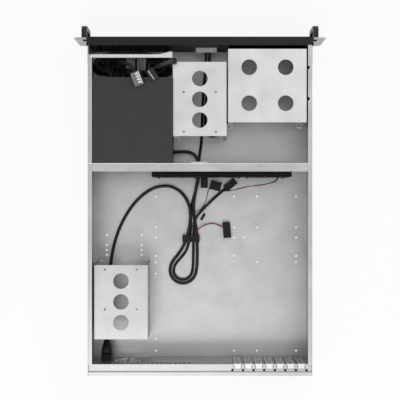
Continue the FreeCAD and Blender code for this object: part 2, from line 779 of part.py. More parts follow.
def slot_cover(index):
    """Blank of one expansion slot: a vented blade with a flange over the shelf."""
    body = new_body(f"slot_cover_{index + 1}")
    across, wall = bay_across(index), "rear_wall"
    pad(body, "YZ", f"{across} - cover_wide/2", "cover_wide", [[
        (f"{wall} - cover_steel", "cover_foot"), (wall, "cover_foot"), (wall, "shelf_top"),
        ("cover_back", "shelf_top"), ("cover_back", "shelf_top + cover_steel"),
        (f"{wall} - cover_steel", "shelf_top + cover_steel"),
    ]])
    vents = [
        rectangle(f"{across} - 4", str(z), f"{across} + 4", str(z + 11)) for z in range(16, 70, 14)
    ]
    cut(body, "XZ", f"-{wall} - 1", "cover_steel + 2", vents)
    cut(body, "XY", "shelf_top - 1", "cover_steel + 2", circles=[
        (f"{across} + cover_screw_aside", "cover_screw", "2.4"),
    ])


def io_plate():
    """Plain plate that closes the opening for a main board's sockets."""
    body = new_body("io_plate")
    pad(body, "XZ", "-rear_wall", "0.8", [
        rectangle(
            "port_low - port_lap", "port_foot - port_lap", "port_high + port_lap", "port_top + port_lap",
        ),
    ])
    pad(body, "XZ", "-rear_wall - steel", "steel", [
        rectangle("port_low + 0.4", "port_foot + 0.4", "port_high - 0.4", "port_top - 0.4"),
    ])


def mains_inlet():
    """Mains socket in the rear wall and the moulded end of the lead on its inner side."""
    body = new_body("mains_inlet")
    outside = "rear_wall + steel"
    pad(body, "XZ", f"-({outside}) - 2.5", "2.5", [rectangle(
        "inlet_across - 12", "inlet_up - 25", "inlet_across + 12", "inlet_up + 25",
    )])
    round_edges(body, "6", lambda edge: runs_along(edge, "y"))
    pad(body, "XZ", f"-({outside})", "steel + 12", [rectangle(
        "inlet_across - inlet_wide/2 + 0.1", "inlet_up - inlet_high/2 + 0.1",
        "inlet_across + inlet_wide/2 - 0.1", "inlet_up + inlet_high/2 - 0.1",
    )])
    cut(body, "XZ", f"-({outside}) - 3", "13", [[
        ("inlet_across - 8", "inlet_up - 12"), ("inlet_across + 4", "inlet_up - 12"),
        ("inlet_across + 8", "inlet_up - 8"), ("inlet_across + 8", "inlet_up + 8"),
        ("inlet_across + 4", "inlet_up + 12"), ("inlet_across - 8", "inlet_up + 12"),
    ]])
    pins = new_body("inlet_pins")
    pad(pins, "XZ", f"-({outside}) + 7.5 - 9", "9", [
        rectangle(
            f"inlet_across + {x} - 2", f"inlet_up + {z} - 1",
            f"inlet_across + {x} + 2", f"inlet_up + {z} + 1",
        )
        for x, z in ((-3, -7), (2, 0), (-3, 7))
    ])


def wedge(name, near, far, wide, high, narrow, low):
    """A block about the inlet's axis that narrows from its rear face to its front face."""
    part = doc.addObject("Part::Wedge", name)
    sizes = {
        "Xmin": f"-{wide}/2", "Xmax": f"{wide}/2", "Zmin": f"-{high}/2", "Zmax": f"{high}/2",
        "X2min": f"-{narrow}/2", "X2max": f"{narrow}/2", "Z2min": f"-{low}/2", "Z2max": f"{low}/2",
        "Ymin": "0", "Ymax": f"{far} - {near}",
    }
    for key, text in sizes.items():
        setattr(part, key, size(text))
        part.setExpression(key, linked(text))
    part.Placement = FreeCAD.Placement(
        FreeCAD.Vector(size("inlet_across"), size(f"rear_wall - {near}"), size("inlet_up")),
        FreeCAD.Rotation(FreeCAD.Vector(0, 0, 1), 180),
    )
    return part


def lead_plug():
    """Moulded plug behind the inlet, narrowing into its strain relief."""
    sections = [
        ("plug_block", 12, 28, 19.6, 26.6, 19.6, 26.6), ("plug_shoulder", 28, 34, 19.6, 26.6, 10, 12),
        ("plug_relief", 34, 46, 10, 12, 7.6, 7.6),
    ]
    joined = doc.addObject("Part::MultiFuse", "lead_plug")
    joined.Shapes = [wedge(*section) for section in sections]
    SUBPARTS.append(joined)


# ---------------------------------------------------------------- cables

ROUTES = {
    # name: diameter and the points that the cable runs by
    "mains_lead": (6.2, [
        (184, 269.2, 32), (184, 242, 28), (183.5, 212, 12), (182.5, 176, 5), (180, 130, 5),
        (172, 84, 5), (156, 42, 5), (130, 2, 5), (96, -24, 5), (62, -28, 5), (38, -12, 5),
        (28, 14, 5), (27, 42, 5), (28.4, 68, 5), (32.5, 91, 5), (43.5, 109, 5), (58.3, 126.5, 5),
        (61.3, 148, 5), (48, 165.5, 5), (26.6, 168, 5), (9.6, 154.5, 5), (5.8, 131, 5),
        (5.4, 106, 5), (5.8, 80, 5), (5, 54, 5), (5.6, 28, 5), (5.4, 2, 7), (2.6, -24, 12),
        (2, -50, 12.5), (2.2, -75, 12.5), (12, -93, 14.5), (31, -97.5, 19), (50.8, -95, 22),
    ]),
    "usb_cable": (5.6, [
        (-12, -298.2, 47), (-12, -276, 45), (-11, -250, 30), (-10, -222, 10), (-9, -188, 5),
        (-7, -150, 5), (-3, -114, 5), (2, -84, 5.6), (2, -60, 5.6), (3.2, -38, 5.4), (10, -14, 5), (17.2, 8, 5),
        (20.2, 32, 5), (20.2, 56, 5), (21.2, 80, 5), (26.5, 101, 5), (38.5, 116, 5),
        (51.4, 130.5, 5), (53.8, 146.5, 5), (44, 158.8, 5), (28.6, 160.2, 5), (16.6, 150.5, 5),
        (13.8, 131, 5), (13.4, 110, 5), (13.2, 88, 5), (12.6, 66, 5.6), (12.8, 48, 12),
        (7, 33, 16.5), (-5, 19, 14.5), (-20, 4, 7.5), (-35, -10.1, 6), (-50.5, -22.4, 6),
    ]),
    "drive_lead": (3, [
        (9.2, 78, 10.3), (9, 68, 11.2), (4.5, 58.5, 12.6), (-5, 51.5, 9), (-18, 47, 3.6),
        (-30, 47, 3.6), (-38.5, 51, 4.6), (-45.4, 53.9, 5.6),
    ]),
    "board_harness": (8, [
        (168, -234, 44), (168, -249, 45), (166, -261, 55), (158, -266, 70), (149, -264, 84),
        (139, -261, 91), (130.8, -256, 91), (125.3, -243.9, 91),
    ]),
    "sleeved_harness": (10, [
        (156, -234, 44), (153, -247, 37), (140, -253, 31), (121, -252, 35), (103, -251, 48),
        (87, -256, 64), (71, -262, 78), (56, -266.5, 84), (45, -267, 84.5),
    ]),
    "aux_harness": (5, [
        (146, -234, 44), (147, -247, 48), (144, -258, 56), (133, -263.5, 59.4), (117, -264.5, 59.4),
        (104.5, -265.8, 58.6), (95.5, -267, 64), (94.5, -266, 76), (99, -261, 87), (97.4, -248.8, 90.6),
    ]),
}


def cord_tube(name):
    """Plain flat-sided tube for a cable: straight runs joined by tangent arcs."""
    diameter, route = ROUTES[name]
    flats = 6 if name in ("mains_lead", "usb_cable", "sleeved_harness") else 4
    points = [FreeCAD.Vector(*point) for point in route]
    edges = []
    radii = []
    start = points[0]
    for before, corner, after in zip(points, points[1:], points[2:]):
        arriving = (corner - before).normalize()
        leaving = (after - corner).normalize()
        half = arriving.getAngle(leaving) / 2
        trim = 0.45 * min((corner - before).Length, (after - corner).Length)
        radius = trim / math.tan(half)
        inward = (leaving - arriving).normalize()
        crown = corner + inward * (radius / math.cos(half) - radius)
        edges.append(Part.LineSegment(start, corner - arriving * trim).toShape())
        edges.append(Part.Arc(corner - arriving * trim, crown, corner + leaving * trim).toShape())
        start = corner + leaving * trim
        radii.append(radius)
    edges.append(Part.LineSegment(start, points[-1]).toShape())
    path = Part.Wire(edges)
    along = (points[1] - points[0]).normalize()
    aside = along.cross(FreeCAD.Vector(0.3, 0.2, 1)).normalize()
    ring = []
    for flat in range(flats):
        spin = FreeCAD.Rotation(along, 360 / flats * (flat + 0.5))
        ring.append(points[0] + spin.multVec(aside) * (diameter / 2))
    profile = Part.makePolygon(ring + ring[:1])
    feature = doc.addObject("Part::Feature", name)
    feature.Shape = path.makePipeShell([profile], True, False)
    SUBPARTS.append(feature)
    expected = Part.Face(profile).Area * path.Length
    print(
        f"{name}: length {path.Length:.0f}, least radius {min(radii):.1f} "
        f"({min(radii) / diameter:.1f} diameters), volume {feature.Shape.Volume / expected:.3f} of expected"
    )


def cable_strap():
    """Band round the cables where they are tied."""
    body = new_body("cable_strap")
    pad(body, "XZ", "-84", "14", [
        rectangle("1", "1.3", "35.2", "12.9"), rectangle("1.6", "1.7", "34.6", "12.3"),
    ])


def cable_clip():
    """Plastic clip that leads the front cable out of the front wall."""
    body = new_body("cable_clip")
    pad(body, "XZ", "front_wall - clip_deep", "clip_deep", [
        rectangle("-33", "41", "8", "55"), rectangle("-20", "43", "-4", "52"),
    ])


def header_plug():
    """Wide plug on the front cable, with a keyed rib and a thumb recess."""
    body = new_body("header_plug")
    pad(body, "XY", "1.6", "9", [rectangle("0", "-7", "26", "7")])
    cut(body, "XY", "1", "3", [rectangle("18", "-8", "27", "-5.4"), rectangle("18", "5.4", "27", "8")])
    cut(body, "XY", "8.6", "3", [rectangle("4", "-4", "14", "4")])
    place(body, "-50.5", "-22.4", "0", 218.4)


def drive_plug():
    """Four-pin plug for a disk drive, with two chamfered corners and ribbed grips."""
    body = new_body("drive_plug")
    pad(body, "XY", "1.6", "8", [[
        ("0", "-5.5"), ("2.5", "-8"), ("15", "-8"), ("15", "24"), ("0", "24"),
    ]])
    cut(body, "XY", "8.6", "2", [rectangle("2", str(along), "13", str(along + 1.5)) for along in (-4, 8, 20)])
    place(body, "-60.5", "51", "0", 5)


def power_plugs():
    """Plugs on the power supply's leads; they lie on its cover and between it and the brace."""
    board = new_body("board_plug")
    pad(board, "XY", "psu_top + 0.1", "10", [rectangle("-8", "-13", "9", "13")])
    for up in (1.3, 5.6):
        cut(board, "XZ", "-14", "10", [
            rectangle(str(x), f"psu_top + {up}", str(x + 2.9), f"psu_top + {up + 3}")
            for x in (-7, -3.2, 0.6, 4.4)
        ])
    place(board, "120", "-232", "0", 22)
    for name, across, along, half in (
        ("side_plug_1", "134", "-264.5", 10), ("side_plug_2", "113", "-262", 11.5),
    ):
        plug = new_body(name)
        pad(plug, "XY", "side_plug_up", "12", [rectangle("-8.2", f"-{half}", "8.2", str(half))])
        cut(plug, "XY", "side_plug_up + 9", "4", [
            rectangle("-6", f"1 - {half}", "-1", f"{half} - 1"),
            rectangle("1", f"1 - {half}", "6", f"{half} - 1"),
        ])
        place(plug, across, along)
    aux = new_body("aux_plug")
    pad(aux, "XY", "psu_top + 0.1", "9", [rectangle("-7.3", "-11", "7.3", "11")])
    cut(aux, "XY", "psu_top + 8", "2", [rectangle("-5", "-9", "-1", "9")])
    place(aux, "91.3", "-239.7", "0", 34)


# ---------------------------------------------------------------- build

chassis_base()
front_bulkhead()
front_panel()
bay_cover()
control_parts()
for suffix, side in (("left", -1), ("right", 1)):
    rack_ear("ear_" + suffix, side)
    handle("handle_" + suffix, side)
drive_bracket("drive_bracket_front", "front_bracket_across", "-front_bracket_start", 0)
drive_bracket("drive_bracket_rear", "rear_bracket_across", "rear_bracket_start", 180)
optical_cage()
power_supply()
psu_grommets()
psu_brace()
cross_bar()
fan_carrier()
swept_blade = blade()
for number in range(3):
    fan_frame(number)
    fan_rotor(number, swept_blade)
rear_panel()
for number in range(7):
    slot_cover(number)
io_plate()
mains_inlet()
lead_plug()
for cable in ROUTES:
    cord_tube(cable)
cable_strap()
cable_clip()
header_plug()
drive_plug()
power_plugs()

doc.recompute()
for item in doc.Objects:
    if {"Invalid", "Error"} & set(item.State):
        raise ValueError(f"{item.Name} failed: {item.State}")

os.makedirs("parts", exist_ok=True)
for item in SUBPARTS:
    if item.Shape.isNull() or not item.Shape.isValid():
        raise ValueError(item.Name + " has no valid shape")
    item.Shape.exportStep(f"parts/{item.Label}.step")
print(len(SUBPARTS), "sub-parts written")
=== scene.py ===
import json
import math
from itertools import accumulate
import bmesh
import bpy
from mathutils import Matrix, Vector


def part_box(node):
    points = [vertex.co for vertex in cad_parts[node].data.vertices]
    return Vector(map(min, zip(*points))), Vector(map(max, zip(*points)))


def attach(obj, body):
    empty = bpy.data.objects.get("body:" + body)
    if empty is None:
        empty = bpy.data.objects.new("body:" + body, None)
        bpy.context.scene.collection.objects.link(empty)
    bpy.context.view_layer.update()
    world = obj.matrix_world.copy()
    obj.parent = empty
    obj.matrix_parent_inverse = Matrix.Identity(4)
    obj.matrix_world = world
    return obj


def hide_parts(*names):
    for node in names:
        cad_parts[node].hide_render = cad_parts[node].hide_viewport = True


# An open two-unit server case: zinc-coated sheet, a black front, a dark power supply and
# the cables that lie in it. +Z is up, the front faces -Y, the power supply stands at +X.
# Sizes are in millimetres. The cords' routes, the camera and the lamps are in metres.

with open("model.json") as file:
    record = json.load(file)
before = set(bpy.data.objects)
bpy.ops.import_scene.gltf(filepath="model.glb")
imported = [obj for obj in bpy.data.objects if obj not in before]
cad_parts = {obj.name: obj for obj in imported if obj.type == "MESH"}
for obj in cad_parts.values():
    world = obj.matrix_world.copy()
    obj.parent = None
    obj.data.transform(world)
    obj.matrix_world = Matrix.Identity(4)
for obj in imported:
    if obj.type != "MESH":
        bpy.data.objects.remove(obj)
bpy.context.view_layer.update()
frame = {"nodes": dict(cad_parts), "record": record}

scene = bpy.context.scene
scene.view_settings.view_transform = "Standard"

MM = 0.001
UP, BACK, RIGHT, LEFT = (0, 0, 1), (0, 1, 0), (1, 0, 0), (-1, 0, 0)
X, Y, Z = range(3)
# A Mix node's colour sockets go by number, because its other sockets have the same names.
MIX_LOW, MIX_HIGH, MIXED = 6, 7, 2


def box(node):
    """A CAD node's lowest and highest corner."""
    return [[v / MM for v in corner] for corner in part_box(node)]


def middle(node, axis):
    """Half way through a CAD node along one axis."""
    low, high = box(node)
    return (low[axis] + high[axis]) / 2


# Places that several pieces share, from the solids where their boxes give them.
INSIDE = box("rear_panel")[1][X]
CASE_TOP = box("chassis_base")[1][Z]
BAR_TOP = box("cross_bar")[1][Z]
BAR_FRONT = -70.4
SHELF_TOP = 84.3
FIRST_SLOT = middle("slot_cover_1", X)
SLOT_FACE = box("slot_cover_1")[0][Y]
SLOT_PITCH = 20.32
SLOTS = 7


# ---------------------------------------------------------------- meshes

def new_object(name, data, body="case"):
    """An object in the scene, which rides on a body if it is part of the case."""
    made = bpy.data.objects.new(name, data)
    scene.collection.objects.link(made)
    if body:
        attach(made, body)
    return made


def new_mesh(name, shape, finishes):
    """The mesh of a bmesh with its materials, its faces turned outwards."""
    bmesh.ops.recalc_face_normals(shape, faces=shape.faces)
    mesh = bpy.data.meshes.new(name)
    shape.to_mesh(mesh)
    shape.free()
    for finish in finishes:
        mesh.materials.append(finish)
    return mesh


def piece(name, shape, finish, body="case"):
    """A piece from a bmesh, in one material or none."""
    bmesh.ops.remove_doubles(shape, verts=shape.verts, dist=1e-6)
    return new_object(name, new_mesh(name, shape, [finish] if finish else []), body)


def as_mesh(made):
    """A plain mesh of what an object's curve or modifiers give."""
    bpy.context.view_layer.update()
    return bpy.data.meshes.new_from_object(made.evaluated_get(bpy.context.evaluated_depsgraph_get()))


def stand_at(place, turn):
    """Where something stands, turned about the upright by so many degrees."""
    return Matrix.Translation([v * MM for v in place]) @ Matrix.Rotation(math.radians(turn), 4, "Z")


def boxes(spans, stand=Matrix.Identity(4)):
    """Boxes in one shape, each from its low corner to its high one, set on a stand."""
    shape = bmesh.new()
    for low, high in spans:
        centre = [(a + b) / 2 * MM for a, b in zip(low, high)]
        size = [(b - a) * MM for a, b in zip(low, high)]
        bmesh.ops.create_cube(shape, size=1, matrix=(
            stand @ Matrix.Translation(centre) @ Matrix.Diagonal((*size, 1))
        ))
    return shape


def ease(shape, width):
    """Rounds every edge of a shape."""
    bmesh.ops.bevel(
        shape, geom=shape.edges[:], offset=width * MM, segments=2, profile=0.5, affect="EDGES",
    )


def ring(shape, centre, across, up, radius, around):
    """Points in a circle about a centre, in metres."""
    return [
        shape.verts.new(centre + (across * math.cos(turn) + up * math.sin(turn)) * radius)
        for turn in (math.tau * k / around for k in range(around))
    ]


def band(shape, low, high):
    """The faces between two rings of as many points."""
    count = len(low)
    return [
        shape.faces.new((low[k], low[(k + 1) % count], high[(k + 1) % count], high[k]))
        for k in range(count)
    ]


def loft(shape, rings, smooth=False):
    """A closed form through rings of as many points."""
    for low, high in zip(rings, rings[1:]):
        for face in band(shape, low, high):
            face.smooth = smooth
    shape.faces.new(rings[0])
    shape.faces.new(rings[-1])


# ---------------------------------------------------------------- nodes

def linear(code):
    """An sRGB hex colour as linear red, green, blue and alpha."""
    parts = [int(code[start:start + 2], 16) / 255 for start in (0, 2, 4)]
    return [c / 12.92 if c <= 0.04045 else ((c + 0.055) / 1.055) ** 2.4 for c in parts] + [1]


def per_mm(spacing):
    """The texture scale at which a pattern comes again every so many millimetres."""
    return 1 / (spacing * MM)


def add(tree, kind, inputs=None, **settings):
    """One node: its settings, and its inputs as values or as other nodes' outputs."""
    made = tree.nodes.new(kind)
    for key, value in settings.items():
        setattr(made, key, value)
    for key, value in (inputs or {}).items():
        if isinstance(value, bpy.types.NodeSocket):
            tree.links.new(value, made.inputs[key])
        else:
            made.inputs[key].default_value = value
    return made


def begin(name, roughness, metallic=0.0, ior=None, gloss=0.5):
    """A material: itself, its tree, its shader and the object's own coordinates."""
    made = bpy.data.materials.new(name)
    made.use_nodes = True
    tree = made.node_tree
    shader = tree.nodes["Principled BSDF"]
    shader.inputs["Roughness"].default_value = roughness
    shader.inputs["Metallic"].default_value = metallic
    if ior:
        shader.inputs["IOR"].default_value = ior
        shader.inputs["Specular IOR Level"].default_value = gloss
    place = add(tree, "ShaderNodeTexCoord").outputs["Object"]
    return made, tree, shader, place


def spots(tree, place, spacing, detail=3.0, stretch=(1, 1, 1)):
    """Soft noise whose spots lie so far apart, stretched if need be."""
    moved = add(tree, "ShaderNodeMapping", {"Vector": place, "Scale": stretch}).outputs[0]
    return add(
        tree, "ShaderNodeTexNoise", {"Vector": moved, "Scale": per_mm(spacing), "Detail": detail}
    ).outputs["Fac"]


def skin(tree, shader, tint, low, high, reach=(0.35, 0.65), sheen=None, rough=None, grain=None, depth=0):
    """The surface of a finish: its colour, and its sheen and grain if it has them.

    The colour goes from low to high as the tint goes over its reach. The roughness goes over the
    range that rough gives, by the sheen's pattern. The grain's pattern is pressed in so deep.
    """
    share = add(tree, "ShaderNodeMapRange", {"Value": tint, "From Min": reach[0], "From Max": reach[1]})
    mix = add(tree, "ShaderNodeMix", {
        "Factor": share.outputs["Result"], MIX_LOW: linear(low), MIX_HIGH: linear(high),
    }, data_type="RGBA")
    tree.links.new(mix.outputs[MIXED], shader.inputs["Base Color"])
    if sheen:
        between = add(tree, "ShaderNodeMapRange", {
            "Value": sheen, "From Min": 0.3, "From Max": 0.7, "To Min": rough[0], "To Max": rough[1],
        })
        tree.links.new(between.outputs["Result"], shader.inputs["Roughness"])
    if grain:
        bump = add(tree, "ShaderNodeBump", {"Height": grain, "Distance": depth * MM, "Strength": 1.0})
        tree.links.new(bump.outputs["Normal"], shader.inputs["Normal"])


# ---------------------------------------------------------------- finishes

def sheet_steel(name, low, high, roughness):
    """Zinc-coated steel sheet: a pale satin grey with faint cloudy patches and a rolled grain.

    The grain is drawn at 0.6 mm, several times as coarse as the real one, so that it shows.
    """
    made, tree, shader, place = begin(name, roughness, metallic=1.0)
    clouds = spots(tree, place, 45, 4)
    grain = spots(tree, place, 0.6, 2, (1, 0.08, 1))
    total = add(tree, "ShaderNodeMath", {0: clouds, 1: grain}, operation="ADD").outputs[0]
    mean = add(tree, "ShaderNodeMath", {0: total, 1: 0.5}, operation="MULTIPLY").outputs[0]
    skin(
        tree, shader, mean, low, high, sheen=clouds, rough=(roughness - 0.05, roughness + 0.06),
        grain=grain, depth=0.004,
    )
    return made


def powder_coat(name, low, high, roughness, gloss):
    """Baked powder coat: dark and matt, with a fine orange-peel skin that breaks up its gloss."""
    made, tree, shader, place = begin(name, roughness, ior=1.5, gloss=gloss)
    peel = spots(tree, place, 0.9, 2)
    clouds = spots(tree, place, 60, 2)
    skin(
        tree, shader, clouds, low, high, sheen=peel, rough=(roughness - 0.06, roughness + 0.08),
        grain=peel, depth=0.02,
    )
    return made


def brushed_aluminium():
    """Extruded aluminium, brushed upright: bright, with hair lines that spread its gloss.

    The hairs are drawn 0.5 mm apart, about ten times as coarse as real ones, so that they show.
    """
    made, tree, shader, place = begin("brushed_aluminium", 0.34, metallic=1.0)
    hairs = spots(tree, place, 0.5, 4, (1, 1, 0.03))
    skin(
        tree, shader, hairs, "949596", "B0B1B2", sheen=hairs, rough=(0.28, 0.44),
        grain=hairs, depth=0.006,
    )
    return made


def satin_enamel():
    """Cast handle in satin enamel: near black, smooth, and it takes a soft highlight."""
    made, tree, shader, place = begin("satin_enamel", 0.38, ior=1.52, gloss=0.3)
    cast = spots(tree, place, 2.5, 3)
    skin(tree, shader, cast, "171718", "202021", grain=cast, depth=0.02)
    return made


def moulded_plastic(name, low, high, roughness, gloss=0.5):
    """Injection-moulded plastic: a dull gloss over a fine spark-eroded texture.

    The texture is drawn at 0.5 mm, coarser than the real one, so that it shows.
    """
    made, tree, shader, place = begin(name, roughness, ior=1.5, gloss=gloss)
    grit = spots(tree, place, 0.5, 2)
    flow = spots(tree, place, 14, 2)
    skin(
        tree, shader, flow, low, high, sheen=grit, rough=(roughness - 0.06, roughness + 0.06),
        grain=grit, depth=0.012,
    )
    return made


def cable_pvc(name, low, high):
    """Extruded PVC sheath: soft dull gloss, faintly rippled where the cores press through."""
    made, tree, shader, place = begin(name, 0.42, ior=1.53, gloss=0.25)
    ripple = spots(tree, place, 3.5, 2)
    dust = spots(tree, place, 9, 3)
    skin(tree, shader, dust, low, high, sheen=ripple, rough=(0.36, 0.5), grain=ripple, depth=0.05)
    return made


def braided_sleeve():
    """Woven nylon sleeving: glossy dark threads that cross each other round the wires.

    Eight threads run each way round, and each comes again every 3.2 mm along the sleeve.
    """
    made, tree, shader, _ = begin("braided_nylon", 0.38, ior=1.53)
    turn, along, _ = add(
        tree, "ShaderNodeSeparateXYZ", {"Vector": add(tree, "ShaderNodeUVMap").outputs["UV"]}
    ).outputs
    waves = []
    for threads in (8.0, -8.0):
        slanted = add(tree, "ShaderNodeMath", {0: turn, 1: threads}, operation="MULTIPLY")
        pitch = add(tree, "ShaderNodeMath", {0: along, 1: per_mm(3.2)}, operation="MULTIPLY")
        phase = add(
            tree, "ShaderNodeMath", {0: slanted.outputs[0], 1: pitch.outputs[0]}, operation="ADD"
        )
        circle = add(tree, "ShaderNodeMath", {0: phase.outputs[0], 1: math.tau}, operation="MULTIPLY")
        waves.append(add(tree, "ShaderNodeMath", {0: circle.outputs[0]}, operation="SINE").outputs[0])
    weave = add(tree, "ShaderNodeMath", {0: waves[0], 1: waves[1]}, operation="MAXIMUM").outputs[0]
    skin(tree, shader, weave, "060607", "3C3C3E", (0.1, 1.0), grain=weave, depth=0.35)
    return made


def circuit_board():
    """Glass-epoxy board under green solder mask: glossy, with a faint weave.

    The weave is drawn at 1.2 mm, about twice as coarse as the real one, so that it shows.
    """
    made, tree, shader, place = begin("solder_mask", 0.28, ior=1.55)
    weave = spots(tree, place, 1.2, 1)
    skin(tree, shader, weave, "0D3B22", "17502F", grain=weave, depth=0.01)
    return made


def plated_metal(name, low, high, roughness):
    """Plated metal: bright, with fine rub marks that dull it in places."""
    made, tree, shader, place = begin(name, roughness, metallic=1.0)
    rubs = spots(tree, place, 0.8, 4, (1, 0.2, 1))
    skin(tree, shader, rubs, low, high, sheen=rubs, rough=(roughness - 0.06, roughness + 0.08))
    return made


def milky_acrylic():
    """Moulded light guide: pale, smooth, and a little light goes through it."""
    made, tree, shader, place = begin("milky_acrylic", 0.2, ior=1.49)
    shader.inputs["Subsurface Weight"].default_value = 0.2
    skin(tree, shader, spots(tree, place, 2, 1), "B9BDC0", "CED2D4")
    return made


# The record's slots and the finish that each stands for.
FINISHES = {
    "zinc_steel": sheet_steel("galvanised_sheet", "A3A4A5", "B3B4B5", 0.42),
    "bracket_steel": sheet_steel("bright_zinc_sheet", "BEBEBF", "CCCCCD", 0.42),
    "black_panel": powder_coat("black_powder_coat", "0E0E0F", "161617", 0.55, 0.25),
    "black_carrier": powder_coat("black_stoved_enamel", "0A0A0B", "101011", 0.5, 0.08),
    "psu_steel": powder_coat("dark_grey_enamel", "2A2A2B", "303031", 0.5, 0.35),
    "ear_metal": brushed_aluminium(),
    "handle_metal": satin_enamel(),
    "black_plastic": moulded_plastic("black_nylon", "0C0C0D", "151516", 0.42, 0.2),
    "grey_plastic": moulded_plastic("natural_nylon", "A5A5A2", "BEBEBA", 0.4),
    "dark_plastic": moulded_plastic("grey_nylon", "4A4A4C", "5C5C5E", 0.45),
    "cable_sheath": cable_pvc("black_pvc", "0B0B0C", "161617"),
    "circuit_board": circuit_board(),
    "plated_contact": plated_metal("nickel_plate", "C4BFAE", "DAD6C8", 0.25),
    "light_window": milky_acrylic(),
}
BLACK_SHEATH = FINISHES["cable_sheath"]
BLACK_NYLON = FINISHES["black_plastic"]
BRIGHT_ZINC = FINISHES["bracket_steel"]
RED_SHEATH = cable_pvc("red_pvc", "9C1A16", "B5231D")
SLEEVE = braided_sleeve()
SCREW_ZINC = plated_metal("bright_zinc_plate", "B9BABC", "D5D6D8", 0.3)
CONTACT_TIN = plated_metal("tinned_contact", "D6D7D8", "E6E6E7", 0.35)
AGED_NYLON = moulded_plastic("aged_nylon", "6E6E6D", "7E7E7C", 0.5)
CHARCOAL_NYLON = moulded_plastic("charcoal_nylon", "2A2A2C", "363638", 0.5, 0.25)
# Copies of the zinc with painted shade: a shade darker on the rear bracket and in the covers' sunk
# middles, and nearly black in the gaps and on the floor behind the rear wall.
SHADED_ZINC = sheet_steel("shaded_zinc_sheet", "A8A8A9", "B8B8B9", 0.42)
# Painted deep shade: nearly black zinc for the gaps and for the floor under the shelf.
DEEP_SHADE_ZINC = sheet_steel("deep_shade_zinc_sheet", "343536", "424344", 0.6)


def dress_solids():
    """Each solid takes its slot's finish, but for two that differ from the rest of their slot: the aux
    plug in its own grey, and the rear drive bracket in a darker copy of the bracket zinc, with painted
    shade.
    """
    # The rear drive bracket's darker zinc is painted shade, not a different metal.
    own = {"aux_plug": CHARCOAL_NYLON, "drive_bracket_rear": SHADED_ZINC}
    for part in frame["record"]["subparts"]:
        node = part["node"]
        for slot in frame["nodes"][node].material_slots:
            slot.material = own.get(node, FINISHES[part["material_slot"]])


dress_solids()


# ---------------------------------------------------------------- camera, light and floor

def camera():
    """Straight above the case, 1.8 m over the floor, turned so that the front is at the top."""
    lens = bpy.data.cameras.new("camera")
    lens.lens = 82.1
    lens.sensor_width = 36
    made = new_object("camera", lens, None)
    made.location = (0, 0, 1.835)
    made.rotation_euler = (0, 0, math.pi)
    scene.camera = made


def lamp(name, place, target, side, watts):
    """A square area lamp at a place in metres, aimed at a target."""
    light = bpy.data.lights.new(name, "AREA")
    light.shape = "SQUARE"
    light.size = side
    light.energy = watts
    made = new_object(name, light, None)
    made.location = place
    made.rotation_euler = (Vector(target) - Vector(place)).to_track_quat("-Z", "Y").to_euler()


def seen_directly(tree):
    """1 for the rays that look straight, or by a mirror or through glass, at a surface."""
    path = add(tree, "ShaderNodeLightPath")
    either = path.outputs["Is Camera Ray"]
    for other in ("Is Glossy Ray", "Is Transmission Ray"):
        either = add(
            tree, "ShaderNodeMath", {0: either, 1: path.outputs[other]}, operation="MAXIMUM"
        ).outputs[0]
    return either


def surroundings():
    """A pale room: white where it is looked at, and half as strong as a light."""
    world = bpy.data.worlds.new("room")
    scene.world = world
    world.use_nodes = True
    tree = world.node_tree
    strength = add(tree, "ShaderNodeMapRange", {
        "Value": seen_directly(tree), "To Min": 0.5, "To Max": 1.0,
    })
    tree.links.new(strength.outputs["Result"], tree.nodes["Background"].inputs["Strength"])
    tree.nodes["Background"].inputs["Color"].default_value = (1, 1, 1, 1)


def floor():
    """Plain white paper, 8 m across, that keeps a trace of the case's shadow."""
    shape = bmesh.new()
    bmesh.ops.create_grid(shape, x_segments=1, y_segments=1, size=4)
    bmesh.ops.translate(shape, verts=shape.verts, vec=(0, 0, -0.2 * MM))
    made, tree, shader, _ = begin("white_paper", 0.9)
    shader.inputs["Base Color"].default_value = linear("F2F2F2")
    glow = add(tree, "ShaderNodeEmission", {"Color": (1, 1, 1, 1), "Strength": 1.0})
    own_light = 0.88
    share = add(
        tree, "ShaderNodeMath", {0: seen_directly(tree), 1: own_light}, operation="MULTIPLY"
    )
    mix = add(tree, "ShaderNodeMixShader", {
        "Fac": share.outputs[0], 1: shader.outputs[0], 2: glow.outputs[0],
    })
    tree.links.new(mix.outputs[0], tree.nodes["Material Output"].inputs["Surface"])
    piece("floor", shape, made, None)


camera()
lamp("key", (0.3, 1.45, 1.9), target=(0, 0.05, 0), side=1.2, watts=23)
lamp("fill", (-1.2, -1.1, 1.7), target=(0, 0.1, 0), side=1.2, watts=10)
surroundings()
floor()


# ---------------------------------------------------------------- routes of the cords

# Each list holds the points that a cord runs by, from where it leaves its socket, in metres.
MAINS_LEAD = [
    (0.184, 0.2692, 0.032), (0.184, 0.242, 0.028), (0.1835, 0.212, 0.012), (0.1825, 0.176, 0.005),
    (0.18, 0.13, 0.005), (0.172, 0.084, 0.005), (0.156, 0.042, 0.005), (0.13, 0.002, 0.005),
    (0.096, -0.025, 0.005), (0.064, -0.0295, 0.005), (0.042, -0.02, 0.005), (0.0285, -0.005, 0.0075),
    (0.021, 0.012, 0.0108), (0.0186, 0.032, 0.0114), (0.0204, 0.052, 0.0112), (0.0252, 0.073, 0.0085),
    (0.0322, 0.091, 0.005), (0.0435, 0.109, 0.005), (0.0583, 0.1265, 0.005), (0.0613, 0.148, 0.005),
    (0.048, 0.1655, 0.005), (0.0266, 0.168, 0.005), (0.0096, 0.1545, 0.005), (0.0058, 0.131, 0.005),
    (0.0054, 0.106, 0.005), (0.0058, 0.08, 0.005), (0.0068, 0.06, 0.005), (0.0105, 0.042, 0.005),
    (0.0132, 0.022, 0.0078), (0.0125, 0.002, 0.0114), (0.0085, -0.02, 0.012), (0.0035, -0.044, 0.0125),
    (0.0018, -0.061, 0.0125), (0.0022, -0.077, 0.0125), (0.012, -0.093, 0.0145), (0.031, -0.0975, 0.019),
    (0.0508, -0.095, 0.022),
]
